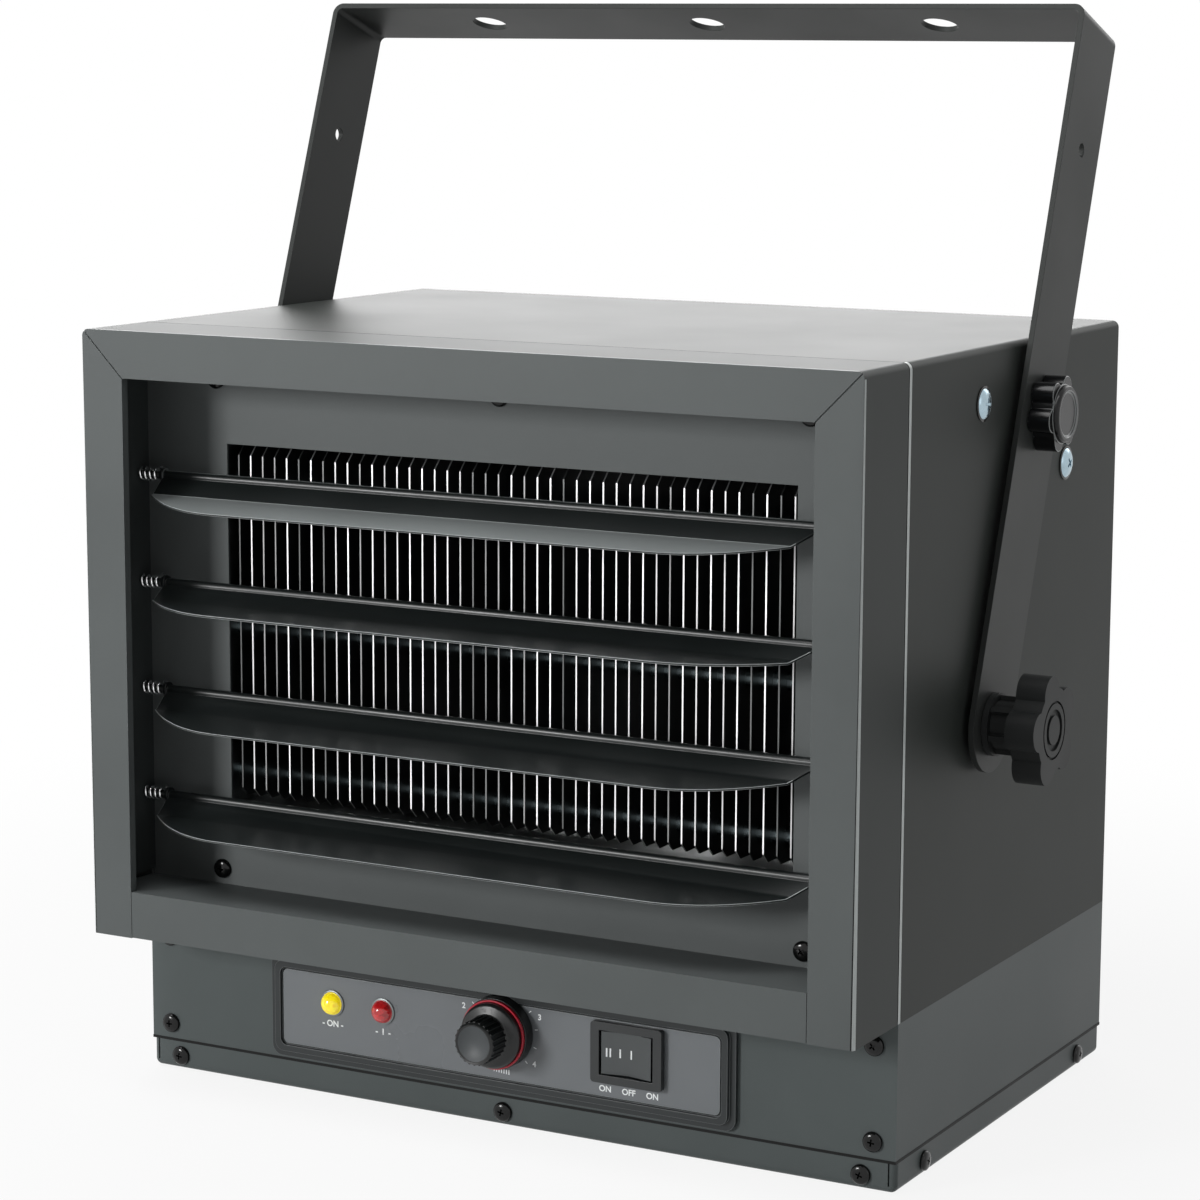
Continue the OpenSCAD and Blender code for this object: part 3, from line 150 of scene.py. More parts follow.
# %% The floor
near, far = 0.25, 0.8
near_white = 0.88
floor_r = 14
floor_drop = 0.0006
bpy.ops.mesh.primitive_circle_add(vertices=64, radius=floor_r, fill_type="NGON", location=(0, 0, -floor_drop))
floor = bpy.context.object
floor.name = "floor"
floor_white = bpy.data.materials.new("floor_white")
floor_white.use_nodes = True
tree = floor_white.node_tree
tree.nodes.clear()
matt = put(tree, "BsdfDiffuse", {"Color": (0.66, 0.66, 0.66, 1)})
glow = put(tree, "Emission", {"Color": (1, 1, 1, 1), "Strength": 1.0})
spread = put(tree, "VectorMath", {0: put(tree, "TexCoord").outputs["Object"]}, operation="LENGTH")
whiteness = put(tree, "MapRange", {"Value": spread.outputs["Value"], "From Min": near, "From Max": far,
                                   "To Min": near_white, "To Max": 1.0}, interpolation_type="SMOOTHSTEP")
share = put(tree, "Math", {0: rays_that_see_white(tree), 1: whiteness.outputs[0]}, operation="MULTIPLY")
both = put(tree, "MixShader", {0: share.outputs[0], 1: matt.outputs[0], 2: glow.outputs[0]})
put(tree, "OutputMaterial", {"Surface": both.outputs[0]})
floor.data.materials.append(floor_white)
print("floor lies", round(-floor.location.z * 1000, 1), "mm under the base")

# %% Five soft lamps
aim = Vector((0, 0, 0.22))


def soft_lamp(name, place, size, power):
    """A square soft box that looks at the middle of the heater."""
    bpy.ops.object.light_add(type="AREA", location=place)
    lamp = bpy.context.object
    lamp.name = name
    lamp.data.size = size
    lamp.data.energy = power
    lamp.rotation_euler = (aim - Vector(place)).to_track_quat("-Z", "Y").to_euler()


soft_lamp("over_head", (-0.3, -0.6, 1.6), 1.0, 18)
soft_lamp("front_left", (-1.3, -2.3, 0.76), 0.6, 37)
soft_lamp("right_side", (2.6, -0.6, 0.9), 1.2, 3)
soft_lamp("behind", (0.8, 2.6, 1.5), 1.6, 14)
soft_lamp("low_behind", (-1.7, 3.0, 1.0), 2.4, 72)
bpy.context.scene.view_settings.view_transform = "Standard"

# %% [markdown]
# ## Finishes
# A single flat colour never looks like a made surface. Every finish below starts from one recipe: the
# colour and the shine drift a little over patches as wide as a hand, and a fine grain lifts the surface
# by some hundredths of a millimetre. What differs between paint, plastic and metal is how large and how
# strong each of these is.

# %% The recipe for a surface
def surface(name, colour, roughness, patch=0.06, tone=0.05, shine=0.04, grain=0.0008, relief=0.00001,
            metallic=0.0, specular=0.5, coat=0.0):
    """A material whose colour, shine and height all vary a little. Lengths are in metres."""
    cloud_low, cloud_high = 0.3, 0.7
    material = bpy.data.materials.new(name)
    material.use_nodes = True
    tree = material.node_tree
    shader = tree.nodes["Principled BSDF"]
    shader.inputs["Metallic"].default_value = metallic
    shader.inputs["Specular IOR Level"].default_value = specular
    shader.inputs["Coat Weight"].default_value = coat
    place = put(tree, "TexCoord").outputs["Object"]
    clouds = put(tree, "TexNoise", {"Vector": place, "Scale": 1 / patch, "Detail": 4.0})
    ramp = put(tree, "ValToRGB", {"Fac": clouds.outputs["Fac"]})
    for stop, factor, at in zip(ramp.color_ramp.elements, (1 - tone, 1 + tone), (cloud_low, cloud_high)):
        stop.position = at
        stop.color = [min(1, value * factor) for value in colour[:3]] + [1]
    shine_map = put(tree, "MapRange", {"Value": clouds.outputs["Fac"],
                                       "From Min": cloud_low, "From Max": cloud_high,
                                       "To Min": roughness - shine, "To Max": roughness + shine})
    pimples = put(tree, "TexNoise", {"Vector": place, "Scale": 1 / grain, "Detail": 2.0})
    bump = put(tree, "Bump", {"Height": pimples.outputs["Fac"], "Distance": relief})
    tree.links.new(ramp.outputs["Color"], shader.inputs["Base Color"])
    tree.links.new(shine_map.outputs[0], shader.inputs["Roughness"])
    tree.links.new(bump.outputs["Normal"], shader.inputs["Normal"])
    return material


# %% Paints
case_paint = surface("case_paint", screen(42, 45, 43), 0.48, shine=0.015, relief=0.000012, specular=0.125)
bezel_paint = surface("bezel_paint", screen(82, 86, 86), 0.42, relief=0.00002, specular=0.2)
flange_paint = surface("flange_paint", screen(58, 61, 60), 0.5, shine=0.015, relief=0.000012, specular=0.115)
box_paint = surface("box_paint", screen(84, 90, 90), 0.42, relief=0.00002, specular=0.15)
bracket_paint = surface("bracket_paint", screen(52, 54, 53), 0.42, relief=0.00002, specular=0.12)
# The louvers take a lit and a shaded copy of one paint: the lighter one is painted light on the top louver's
# wide flat, and the dark one is painted shade on the lower louvers and on the top louver's steep part.
top_louver_painted_light = surface("top_louver_painted_light", screen(126, 131, 131), 0.36, relief=0.00001, specular=0.5)
louver_paint = surface("louver_paint", screen(22, 26, 26), 0.34, relief=0.00001, specular=0.5)
# Painted highlight for the bezel's folds and the case's seam strip.
fold_highlight_paint = surface("fold_highlight_paint", screen(190, 196, 195), 0.35, relief=0.00001, specular=0.4)
# Painted highlight for bevelled edges.
edge_highlight_paint = surface("edge_highlight_paint", screen(170, 176, 176), 0.3, relief=0.00001, specular=0.5)
# Painted shade: a near-black for dark lines at folds and seams.
seam_painted_shade = surface("seam_painted_shade", screen(8, 9, 9), 0.6, relief=0.00001, specular=0.2)
dark_paint = surface("dark_paint", screen(62, 66, 66), 0.5, relief=0.00002, specular=0.2)
baffle_paint = surface("baffle_paint", screen(98, 102, 102), 0.5, relief=0.00002, specular=0.2)
label_film = surface("label_film", screen(110, 114, 117), 0.3, tone=0.03, relief=0.000003, specular=0.5)
print("paints ready")

# %% Plastics
knob_plastic = surface("knob_plastic", screen(24, 26, 26), 0.55, grain=0.0005, relief=0.00002, specular=0.25)
gloss_plastic = surface("gloss_plastic", screen(13, 14, 15), 0.22, grain=0.002, relief=0.000006,
                        specular=0.25)
black_plastic = surface("black_plastic", screen(20, 22, 22), 0.34, grain=0.0006, relief=0.00001, specular=0.4)
frame_plastic = surface("frame_plastic", screen(38, 42, 43), 0.42, grain=0.0006, relief=0.00001,
                        specular=0.35)
# Painted highlight for the knobs' edges.
knob_edge_highlight = surface("knob_edge_highlight", screen(120, 124, 124), 0.3, grain=0.0006, relief=0.00001)
# Painted highlight for the control panel's edges.
panel_edge_highlight = surface("panel_edge_highlight", screen(88, 92, 93), 0.36, grain=0.0006, relief=0.00001)
switch_plastic = surface("switch_plastic", screen(34, 37, 38), 0.34, grain=0.0006, relief=0.00001)
rocker_plastic = surface("rocker_plastic", screen(66, 70, 71), 0.34, grain=0.0006, relief=0.00001)
cap_plastic = surface("cap_plastic", screen(58, 62, 64), 0.5, grain=0.0005, relief=0.00001)
red_plastic = surface("red_plastic", screen(190, 30, 52), 0.35, grain=0.0006, relief=0.00001)
cream_plastic = surface("cream_plastic", screen(196, 190, 172), 0.45, grain=0.0008, relief=0.00001)
white_ink = surface("white_ink", screen(240, 243, 243), 0.5, patch=0.002, grain=0.0003, relief=0.000002)
screw_black = surface("screw_black", screen(10, 11, 11), 0.14, patch=0.003, grain=0.0004, relief=0.000003,
                      specular=0.3)
print("plastics ready")

# %% Metals
zinc_plate = surface("zinc_plate", screen(160, 180, 190), 0.22, patch=0.004, tone=0.1, shine=0.08,
                     grain=0.0004, relief=0.000006, metallic=1.0)
bright_wire = surface("bright_wire", screen(250, 252, 253), 0.14, patch=0.003, tone=0.05, shine=0.03,
                      grain=0.0003, relief=0.000003, metallic=1.0)
sheet_steel = surface("sheet_steel", screen(120, 124, 124), 0.4, patch=0.008, tone=0.14, shine=0.1,
                      grain=0.001, relief=0.00001, metallic=1.0)
rod_metal = surface("rod_metal", screen(176, 190, 194), 0.24, patch=0.02, tone=0.15, metallic=1.0)
motor_paint = surface("motor_paint", screen(40, 42, 44), 0.5, grain=0.0012, relief=0.00005)
fan_metal = surface("fan_metal", screen(150, 154, 156), 0.35, patch=0.02, tone=0.1, shine=0.08, metallic=1.0)
print("metals ready")

# %% [markdown]
# ## Fins with bright edges
# The fins are cut from bright strip, and only their cut edges catch the light: the faces between them
# look into each other and turn black, and their dark metal adds painted shade to that. The front cut edges
# carry a painted highlight whose strength is drawn at random for each fin, so some edges shine and some
# stay dull. The place along the row, counted in fins, gives each fin its own highlight, and the surface's
# direction keeps the painted highlight to the front edges.

# %% The fin finish
fin_count = 44
fin_t = 0.0006
low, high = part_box("fin_pack")
fin_pitch = (high.x - low.x - fin_t) / (fin_count - 1)
fin_metal = surface("fin_metal", screen(70, 72, 72), 0.42, patch=0.01, tone=0.2, metallic=1.0)
tree = fin_metal.node_tree
shader = tree.nodes["Principled BSDF"]
facing = put(tree, "SeparateXYZ", {0: put(tree, "TexCoord").outputs["Normal"]})
front = put(tree, "Math", {0: facing.outputs["Y"]}, operation="ABSOLUTE")
along = put(tree, "SeparateXYZ", {0: put(tree, "TexCoord").outputs["Object"]})
counted = put(tree, "Math", {0: along.outputs["X"], 1: 1 / fin_pitch}, operation="MULTIPLY")
one_fin = put(tree, "Math", {0: counted.outputs[0]}, operation="FLOOR")
# Each fin draws its own strength of painted highlight for its front edge.
fin_glint_luck = put(tree, "TexWhiteNoise", {"W": one_fin.outputs[0]}, noise_dimensions="1D")
painted_fin_glint = put(tree, "ValToRGB", {"Fac": fin_glint_luck.outputs["Value"]})
painted_fin_glint.color_ramp.elements[0].color = screen(96, 98, 98)
painted_fin_glint.color_ramp.elements[1].color = screen(252, 252, 252)
painted_fin_glint.color_ramp.elements[1].position = 0.75
old_colour = shader.inputs["Base Color"].links[0].from_socket
blend = put(tree, "MixRGB", {"Fac": front.outputs[0], "Color1": old_colour, "Color2": painted_fin_glint.outputs[0]})
tree.links.new(blend.outputs[0], shader.inputs["Base Color"])
print("fins stand", round(fin_pitch * 1000, 2), "mm apart")

# %% [markdown]
# ## Lamp lenses
# Each lamp is a moulded lens with small facets inside that spread its light. A clear shell over a small
# lamp would cost many bounces for a piece as small as a fingertip, so the lens is a glossy coloured body,
# and its facets are cells of slightly different tone and height.

# %% The lens finish
def lens(name, colour, facet, glow):
    """Glossy lens with small moulded facets and a little light of its own."""
    darkest, lightest, lift = 0.6, 1.25, 0.02
    material = surface(name, colour, 0.1, patch=0.004, tone=0.15, shine=0.03, coat=0.6)
    tree = material.node_tree
    shader = tree.nodes["Principled BSDF"]
    place = put(tree, "TexCoord").outputs["Object"]
    cells = put(tree, "TexVoronoi", {"Vector": place, "Scale": 1 / facet})
    grey = put(tree, "RGBToBW", {0: cells.outputs["Color"]})
    tones = put(tree, "ValToRGB", {"Fac": grey.outputs[0]})
    tones.color_ramp.elements[0].color = [value * darkest for value in colour[:3]] + [1]
    tones.color_ramp.elements[1].color = [min(1, value * lightest + lift) for value in colour[:3]] + [1]
    tree.links.new(tones.outputs["Color"], shader.inputs["Base Color"])
    shader.inputs["Emission Color"].default_value = colour
    shader.inputs["Emission Strength"].default_value = glow
    bump = put(tree, "Bump", {"Height": cells.outputs["Distance"], "Distance": 0.0001, "Strength": 0.5})
    tree.links.new(bump.outputs["Normal"], shader.inputs["Normal"])
    return material


amber_lens = lens("amber_lens", screen(255, 222, 10), 0.0011, 0.45)
red_lens = lens("red_lens", screen(190, 2, 14), 0.0016, 0.1)
print("lenses ready")

# %% [markdown]
# ## Choosing faces and edges in code
# In the window one would click on faces. In a script they are chosen by where they are or which way they
# look. These small helpers put one object into edit mode, pick by a test, and leave edit mode with
# everything closed.

# %% Helpers for modelling
def only(piece):
    """Makes one object the only selected one, and the active one."""
    bpy.ops.object.select_all(action="DESELECT")
    piece.select_set(True)
    bpy.context.view_layer.objects.active = piece


def edit(piece):
    """Puts one object into edit mode with nothing chosen."""
    only(piece)
    bpy.ops.object.mode_set(mode="EDIT")
    bpy.ops.mesh.select_mode(type="FACE")
    bpy.ops.mesh.select_all(action="DESELECT")


def pick(piece, test, kind="FACE"):
    """Chooses the faces, edges or vertices that pass a test, and says how many there are."""
    bpy.ops.mesh.select_mode(type=kind)
    bpy.ops.mesh.select_all(action="DESELECT")
    mesh = bmesh.from_edit_mesh(piece.data)
    items = {"VERT": mesh.verts, "EDGE": mesh.edges, "FACE": mesh.faces}[kind]
    chosen = [item for item in items if test(item)]
    for item in chosen:
        item.select_set(True)
    bmesh.update_edit_mesh(piece.data)
    return len(chosen)


def object_mode():
    """Leaves edit mode."""
    bpy.ops.object.mode_set(mode="OBJECT")


def joined(pieces):
    """Joins several objects to one and returns it."""
    only(pieces[0])
    for piece in pieces:
        piece.select_set(True)
    bpy.ops.object.join()
    return pieces[0]


def middle_of(node):
    """The middle of a CAD node's box."""
    low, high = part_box(node)
    return (low + high) / 2


# %% Finish a piece and hang it on its body
def settle(piece, name, node, material, smooth=38):
    """Applies a piece's place, smooths it, paints it, and lets it ride with a CAD node's body."""
    only(piece)
    bpy.ops.object.transform_apply(location=True, rotation=True, scale=True)
    bpy.ops.object.shade_smooth_by_angle(angle=math.radians(smooth))
    piece.name = name
    if material:
        piece.data.materials.clear()
        piece.data.materials.append(material)
    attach(piece, nodes[node]["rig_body"])
    return piece


# %% [markdown]
# ## Rounded edges on the sheet metal and the mouldings
# No real edge is razor sharp. A thin line of light runs along each folded or cut edge, and it is what
# makes painted steel look like steel. The CAD node itself is never changed, so a copy is taken: its
# triangles are merged into whole faces, its sharp edges are bevelled, and the flats keep their flat
# shading. Where an edge should shine more than its bevel alone makes it, the bevel gets a lighter finish of
# its own, a painted highlight.

# %% A copy of a CAD node with rounded edges
crisp, thin, plain, full, blunt = 0.0002, 0.0003, 0.0004, 0.0005, 0.0006
fold_r, fold_segments = 0.0016, 4
merge_gap = 0.000002
flat_angle = math.radians(0.3)


def softened(node, width, material, segments=2, sharp=38, edge=None, fold=None, cut=None):
    """Stands for a CAD node with the same shape and small rounded edges.

    The new edges get the finish named by edge, a lighter paint that serves as a painted highlight. The test
    called fold picks edges that are rounded more, and cut is the place along Y where the faces are parted, so
    that a strip of them can be painted.
    """
    piece = bpy.data.objects.new(node + "_soft", nodes[node].data.copy())
    bpy.context.scene.collection.objects.link(piece)
    only(piece)
    if piece.data.has_custom_normals:
        bpy.ops.mesh.customdata_custom_splitnormals_clear()
    piece.data.materials.clear()
    piece.data.materials.append(material)
    edit(piece)
    bpy.ops.mesh.select_all(action="SELECT")
    bpy.ops.mesh.remove_doubles(threshold=merge_gap)
    bpy.ops.mesh.dissolve_limited(angle_limit=flat_angle)
    if cut:
        bpy.ops.mesh.select_all(action="SELECT")
        bpy.ops.mesh.bisect(plane_co=(0, cut, 0), plane_no=(0, 1, 0))
    if fold and pick(piece, fold, kind="EDGE"):
        bpy.ops.mesh.bevel(offset=fold_r, segments=fold_segments, affect="EDGES")
    object_mode()
    bpy.ops.object.modifier_add(type="BEVEL")
    bevel = piece.modifiers[-1]
    bevel.width = width
    bevel.segments = segments
    bevel.limit_method = "ANGLE"
    bevel.angle_limit = math.radians(sharp)
    if edge:
        piece.data.materials.append(edge)
        bevel.material = 1
    bpy.ops.object.modifier_apply(modifier=bevel.name)
    settle(piece, node + "_soft", node, None, smooth=50)
    bpy.ops.object.modifier_add(type="WEIGHTED_NORMAL")
    weigh = piece.modifiers[-1]
    weigh.keep_sharp = True
    bpy.ops.object.modifier_apply(modifier=weigh.name)
    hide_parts(node)
    return piece


# %% Give some faces another finish
def tint(piece, material, test):
    """Paints the faces that pass a test with another material, and returns how many there are."""
    if material.name not in piece.data.materials:
        piece.data.materials.append(material)
    number = piece.data.materials.find(material.name)
    chosen = [face for face in piece.data.polygons if test(face)]
    for face in chosen:
        face.material_index = number
    return len(chosen)


# %% The bezel's outer front edges are folds
bezel_low, bezel_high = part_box("bezel_frame")
touch = 0.00001
shortest_fold = 0.05
fold_depth = 0.003


def front_fold(edge):
    """The long edges between the bezel's front strips and its top and sides."""
    ends = [vert.co for vert in edge.verts]
    if edge.calc_length() < shortest_fold or max(end.y for end in ends) > bezel_low.y + touch:
        return False
    on_top = min(end.z for end in ends) > bezel_high.z - touch
    on_side = min(abs(end.x) for end in ends) > bezel_high.x - touch
    return on_top or on_side


def on_fold(face):
    """The rounded faces of those folds."""
    outward = max(abs(face.normal.x), face.normal.z)
    return face.center.y < bezel_low.y + fold_depth and -0.99 < face.normal.y < -0.1 and outward > 0.1


def on_dark_line(face):
    """The foremost face of the folds down both sides, painted as a dark line of shade beside the painted
    highlight.
    """
    return on_fold(face) and face.normal.y < -0.85 and abs(face.center.x) > bezel_high.x - 0.01


print("bezel is", round((bezel_high.x - bezel_low.x) * 1000), "mm wide")

# %% Case and bezel
seam_strip = 0.0022
strip_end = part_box("case_wrap")[0].y + seam_strip


def on_seam_strip(face):
    """The front strip down both sides of the case, which takes a painted highlight at the seam."""
    return face.center.y < strip_end and face.normal.y > -0.95 and abs(face.normal.x) > 0.2


# The case's front strip at the seam is painted light, a painted highlight.
wrap = softened("case_wrap", full, case_paint, cut=strip_end)
print("seam faces:", tint(wrap, fold_highlight_paint, on_seam_strip))
softened("case_floor", thin, case_paint)
softened("back_panel", thin, case_paint)
softened("inlet_ring", thin, case_paint)
bezel = softened("bezel_frame", thin, bezel_paint, fold=front_fold)
tint(bezel, flange_paint, lambda face: face.center.y > bezel_low.y + fold_depth)
# The rounded fold faces are painted light, a painted highlight.
print("fold faces:", tint(bezel, fold_highlight_paint, on_fold))
# The foremost fold faces down both sides get a painted dark line of shade.
tint(bezel, seam_painted_shade, on_dark_line)
softened("bezel_sill", thin, bezel_paint)

# %% Control box and its cover
softened("control_box", thin, box_paint)
softened("entry_plate", crisp, sheet_steel)
cover = softened("bottom_cover", full, box_paint)
cover_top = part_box("bottom_cover")[1].z
# The cover's top edge is painted near-black, a painted shade along the seam.
tint(cover, seam_painted_shade, lambda face: face.center.z > cover_top - 0.0006)
print("cover top at", round(cover_top * 1000, 1), "mm")

# %% The dark line between the box and the cover
low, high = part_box("control_box")
line_h, line_out, line_in = 0.0012, 0.00015, 0.0008
# A thin near-black band stands a hair proud round the box at the cover's top edge: a painted shadow where the
# seam's shade falls.
bpy.ops.mesh.primitive_cube_add(size=1, location=((low.x + high.x) / 2, (low.y + high.y) / 2,
                                                  cover_top + line_h / 2))
seam_shadow_band = bpy.context.object
seam_shadow_band.scale = (high.x - low.x + 2 * line_out, high.y - low.y + 2 * line_out, line_h)
bpy.ops.object.transform_apply(location=True, scale=True)
edit(seam_shadow_band)
pick(seam_shadow_band, lambda face: abs(face.normal.z) > 0.9)
bpy.ops.mesh.inset(thickness=line_in)
bpy.ops.mesh.bridge_edge_loops()
object_mode()
settle(seam_shadow_band, "cover_seam_shadow", "bottom_cover", seam_painted_shade)
print("seal faces:", len(seam_shadow_band.data.polygons))

# %% Inside the mouth
softened("baffle_plate", thin, baffle_paint)
softened("louver_carrier_left", thin, dark_paint)
softened("louver_carrier_right", thin, dark_paint)


def in_shade(face):
    """The top louver's steep part and its underside, which keep the shaded louver paint while its wide flat
    carries painted light.
    """
    return face.material_index == 0 and (face.normal.y < -0.4 or face.normal.z < 0)


bead_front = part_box("louver_1")[1].y - 0.0092
# The top louver is painted light all over, and its steep part and underside go back to the painted shade.
upper = softened("louver_1", thin, top_louver_painted_light, sharp=30, edge=edge_highlight_paint)
tint(upper, louver_paint, in_shade)
blades = [upper]
for number in (2, 3, 4):
    blades.append(softened(f"louver_{number}", thin, louver_paint, edge=edge_highlight_paint))
# Only the front edges of each blade keep the painted highlight, and the new edges near the bead go back to
# the shaded louver paint.
for blade in blades:
    tint(blade, louver_paint, lambda face: face.material_index == 1 and face.center.y > bead_front)

# %% Bracket and knobs
knob_rest = math.radians(30)
axle = middle_of("pivot_spacers")
at_rest = Matrix.Translation(axle) @ Matrix.Rotation(knob_rest, 4, "X") @ Matrix.Translation(-axle)


def on_waist(face):
    """New edges that look away from the axle, which keep the knob's own colour instead of the painted
    highlight.
    """
    return face.material_index == 1 and abs(face.normal.x) < 0.35


softened("bracket", full, bracket_paint)
softened("pivot_spacers", thin, black_plastic)
for side in ("left", "right"):
    # The knobs' new edges take a painted highlight, except those that look away from the axle.
    clamp = softened(f"pivot_knob_{side}", blunt, knob_plastic,
                     segments=3, sharp=50, edge=knob_edge_highlight)
    tint(clamp, knob_plastic, on_waist)
    clamp.data.transform(at_rest)
    lock = softened(f"lock_knob_{side}", blunt, gloss_plastic,
                    segments=3, sharp=50, edge=knob_edge_highlight)
    tint(lock, gloss_plastic, on_waist)
lean = middle_of("lock_knob_right") - middle_of("pivot_knob_right")
print("bracket leans", round(math.degrees(math.atan2(lean.y, lean.z)), 1), "degrees")

# %% Controls
# The panel's new edges take a painted highlight.
softened("control_panel", plain, frame_plastic, edge=panel_edge_highlight)
softened("panel_label", crisp, label_film, edge=edge_highlight_paint)
softened("thermostat_collar", plain, black_plastic)
knob = softened("thermostat_knob", crisp, black_plastic)
softened("thermostat_ring", thin, red_plastic)
softened("switch_body", plain, switch_plastic)
softened("switch_rocker", full, rocker_plastic)
softened("amber_lamp", thin, amber_lens)
softened("red_lamp", thin, red_lens)
print("controls ready")

# %% Fan, motor and element
softened("fan_rotor", thin, fan_metal)
softened("fan_motor", plain, motor_paint)
softened("motor_mount", thin, sheet_steel)
softened("element_frame", crisp, sheet_steel)

# %% [markdown]
# ## Finishes for the CAD nodes that stay
# Some nodes already have the right shape, such as the wire guard and the fins. They keep their mesh and
# only change what their material slots hold.

# %% Paint the nodes that stay
kept = {
    "fan_guard": screw_black, "fin_pack": fin_metal, "heating_rods": rod_metal, "fan_shaft": zinc_plate,
    "limit_switch": cream_plastic, "thermostat_body": black_plastic, "terminal_block": cream_plastic,
    "power_relay": black_plastic, "pivot_nuts": zinc_plate, "index_nuts": zinc_plate,
}
for name, material in kept.items():
    for slot in nodes[name].material_slots:
        slot.material = material
print(len(kept), "nodes keep their CAD mesh")

# %% [markdown]
# ## Print on the label
# The label carries a scale round the thermostat and short marks under the lamps and the switch. Such
# print could be painted in the material, but a letter needs a sharp outline at any distance, so each mark
# is a text object given a hair of thickness and made a mesh. All marks are plain numbers, ticks and
# switch words.

# %% One printed mark
ink = 0.00004
bold = 0.00009
label_low, label_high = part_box("panel_label")
label_face = label_low.y


def printed(words, size, x, z, turn=0.0):
    """A printed mark on the label, turned clockwise by a number of degrees as seen from the front."""
    bpy.ops.object.text_add(location=(x, label_face, z), rotation=(math.radians(90), math.radians(turn), 0))
    mark = bpy.context.object
    mark.data.body = words
    mark.data.size = size
    mark.data.align_x = "CENTER"
    mark.data.align_y = "CENTER"
    mark.data.extrude = ink
    mark.data.offset = bold
    bpy.ops.object.select_all(action="DESELECT")
    mark.select_set(True)
    bpy.ops.object.convert(target="MESH")
    return bpy.context.object


print("label face at", round(label_face * 1000, 1), "mm")

# %% The scale round the thermostat
dial = middle_of("thermostat_collar")
collar_low, collar_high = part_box("thermostat_collar")
scale_r = (collar_high.x - collar_low.x) / 2 + 0.0016
number_r = scale_r + 0.0032
tick_gap = 27
tick_size, number_size = 0.0018, 0.0034
marks = []


def on_dial(radius, turn):
    """Where a mark lies on the label, at a radius and an angle round the dial."""
    angle = math.radians(turn)
    return dial.x + radius * math.sin(angle), dial.z + radius * math.cos(angle)


for step in range(-5, 6):
    x, z = on_dial(scale_r, step * tick_gap)
    if z < label_high.z - 0.001:
        marks.append(printed("I", tick_size, x, z, step * tick_gap))
for word, turn in (("1", -128), ("2", -66), ("3", 66), ("4", 128)):
    x, z = on_dial(number_r, turn)
    marks.append(printed(word, number_size, x, z))
print("marks round the dial:", len(marks))

# %% The growing bars under the dial
bar_gap = 0.0012
for step in range(7):
    marks.append(printed("I", 0.0012 + 0.0003 * step, dial.x - 0.0036 + bar_gap * step,
                         label_low.z + 0.0033))
print("marks with the bars:", len(marks))

# %% Marks under the lamps and the switch
lamp_size, switch_size = 0.0038, 0.0036
under_lamp, word_gap = 0.0092, 0.011
for word, node in (("- ON -", "amber_lamp"), ("-  I  -", "red_lamp")):
    marks.append(printed(word, lamp_size, middle_of(node).x, middle_of(node).z - under_lamp))
switch = middle_of("switch_body")
switch_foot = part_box("switch_body")[0].z
for word, shift in (("ON", -word_gap), ("OFF", 0.0), ("ON", word_gap)):
    marks.append(printed(word, switch_size, switch.x + shift, (switch_foot + label_low.z) / 2))
label_print = settle(joined(marks), "label_print", "panel_label", white_ink)
print("label print has", len(label_print.data.polygons), "faces")

# %% Bars on the rocker
rocker_low, rocker_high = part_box("switch_rocker")
rocker_mid = middle_of("switch_rocker")
half = (rocker_high.x - rocker_low.x) / 2
dip = 0.002
bar_size = 0.0052
bars = []
for shift in (-0.0092, -0.0076, -0.0034, 0.0016):
    bar = printed("I", bar_size, rocker_mid.x + shift, rocker_mid.z)
    bar.location.y = rocker_low.y + dip * (1 - abs(shift) / half)
    bar.rotation_euler.z = math.atan2(dip, half) * (1 if shift < 0 else -1)
    bars.append(bar)
settle(joined(bars), "rocker_bars", "switch_rocker", white_ink)
print("rocker is", round(2 * half * 1000, 1), "mm wide")

# %% [markdown]
# ## Trim on the controls
# The knob's grip ends in a satin cap set a little into its front, and each lamp sits in a narrow metal
# ring. A loose disc could serve as the cap, but it would need a seam of its own, so the knob's front face
# is inset and pushed in. Each ring starts from a cylinder whose front face is inset and moved in the same
# way.

# %% The knob's cap
knob_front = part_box("thermostat_knob")[0].y
edit(knob)
pick(knob, lambda face: face.normal.y < -0.99 and face.calc_center_median().y < knob_front + 0.00005)
for inset, rise in ((0.0004, 0.0), (0.0002, -0.0004)):
    bpy.ops.mesh.inset(thickness=inset, depth=rise)
object_mode()
smallest_cap = 0.0001
print("cap faces:", tint(knob, cap_plastic, lambda face: face.normal.y < -0.99 and face.area > smallest_cap))

# %% Rings round the lamps
ring_r, ring_h = 0.0058, 0.0006
for colour in ("amber", "red"):
    lamp_mid = middle_of(f"{colour}_lamp")
    bpy.ops.mesh.primitive_cylinder_add(vertices=64, radius=ring_r, depth=ring_h,
                                        rotation=(math.radians(90), 0, 0),
                                        location=(lamp_mid.x, label_face - ring_h / 2, lamp_mid.z))
    ring = bpy.context.object
    bpy.ops.object.transform_apply(location=True, rotation=True)
    edit(ring)
    pick(ring, lambda face: face.normal.y < -0.9)
    for inset, rise in ((0.0003, 0.0002), (0.0004, 0.0)):
        bpy.ops.mesh.inset(thickness=inset, depth=rise)
    object_mode()
    settle(ring, f"{colour}_lamp_ring", f"{colour}_lamp", sheet_steel)

# %% [markdown]
# ## Screws
# The case is held by black pan-head screws, and the spare tilt holes are closed by wide zinc screws. One
# screw of each kind is modelled and copied. A head could be a plain dome, but at this size the cross
# recess is what the eye looks for, so a tapered cross is cut out of it. A black washer lies under each
# zinc head.

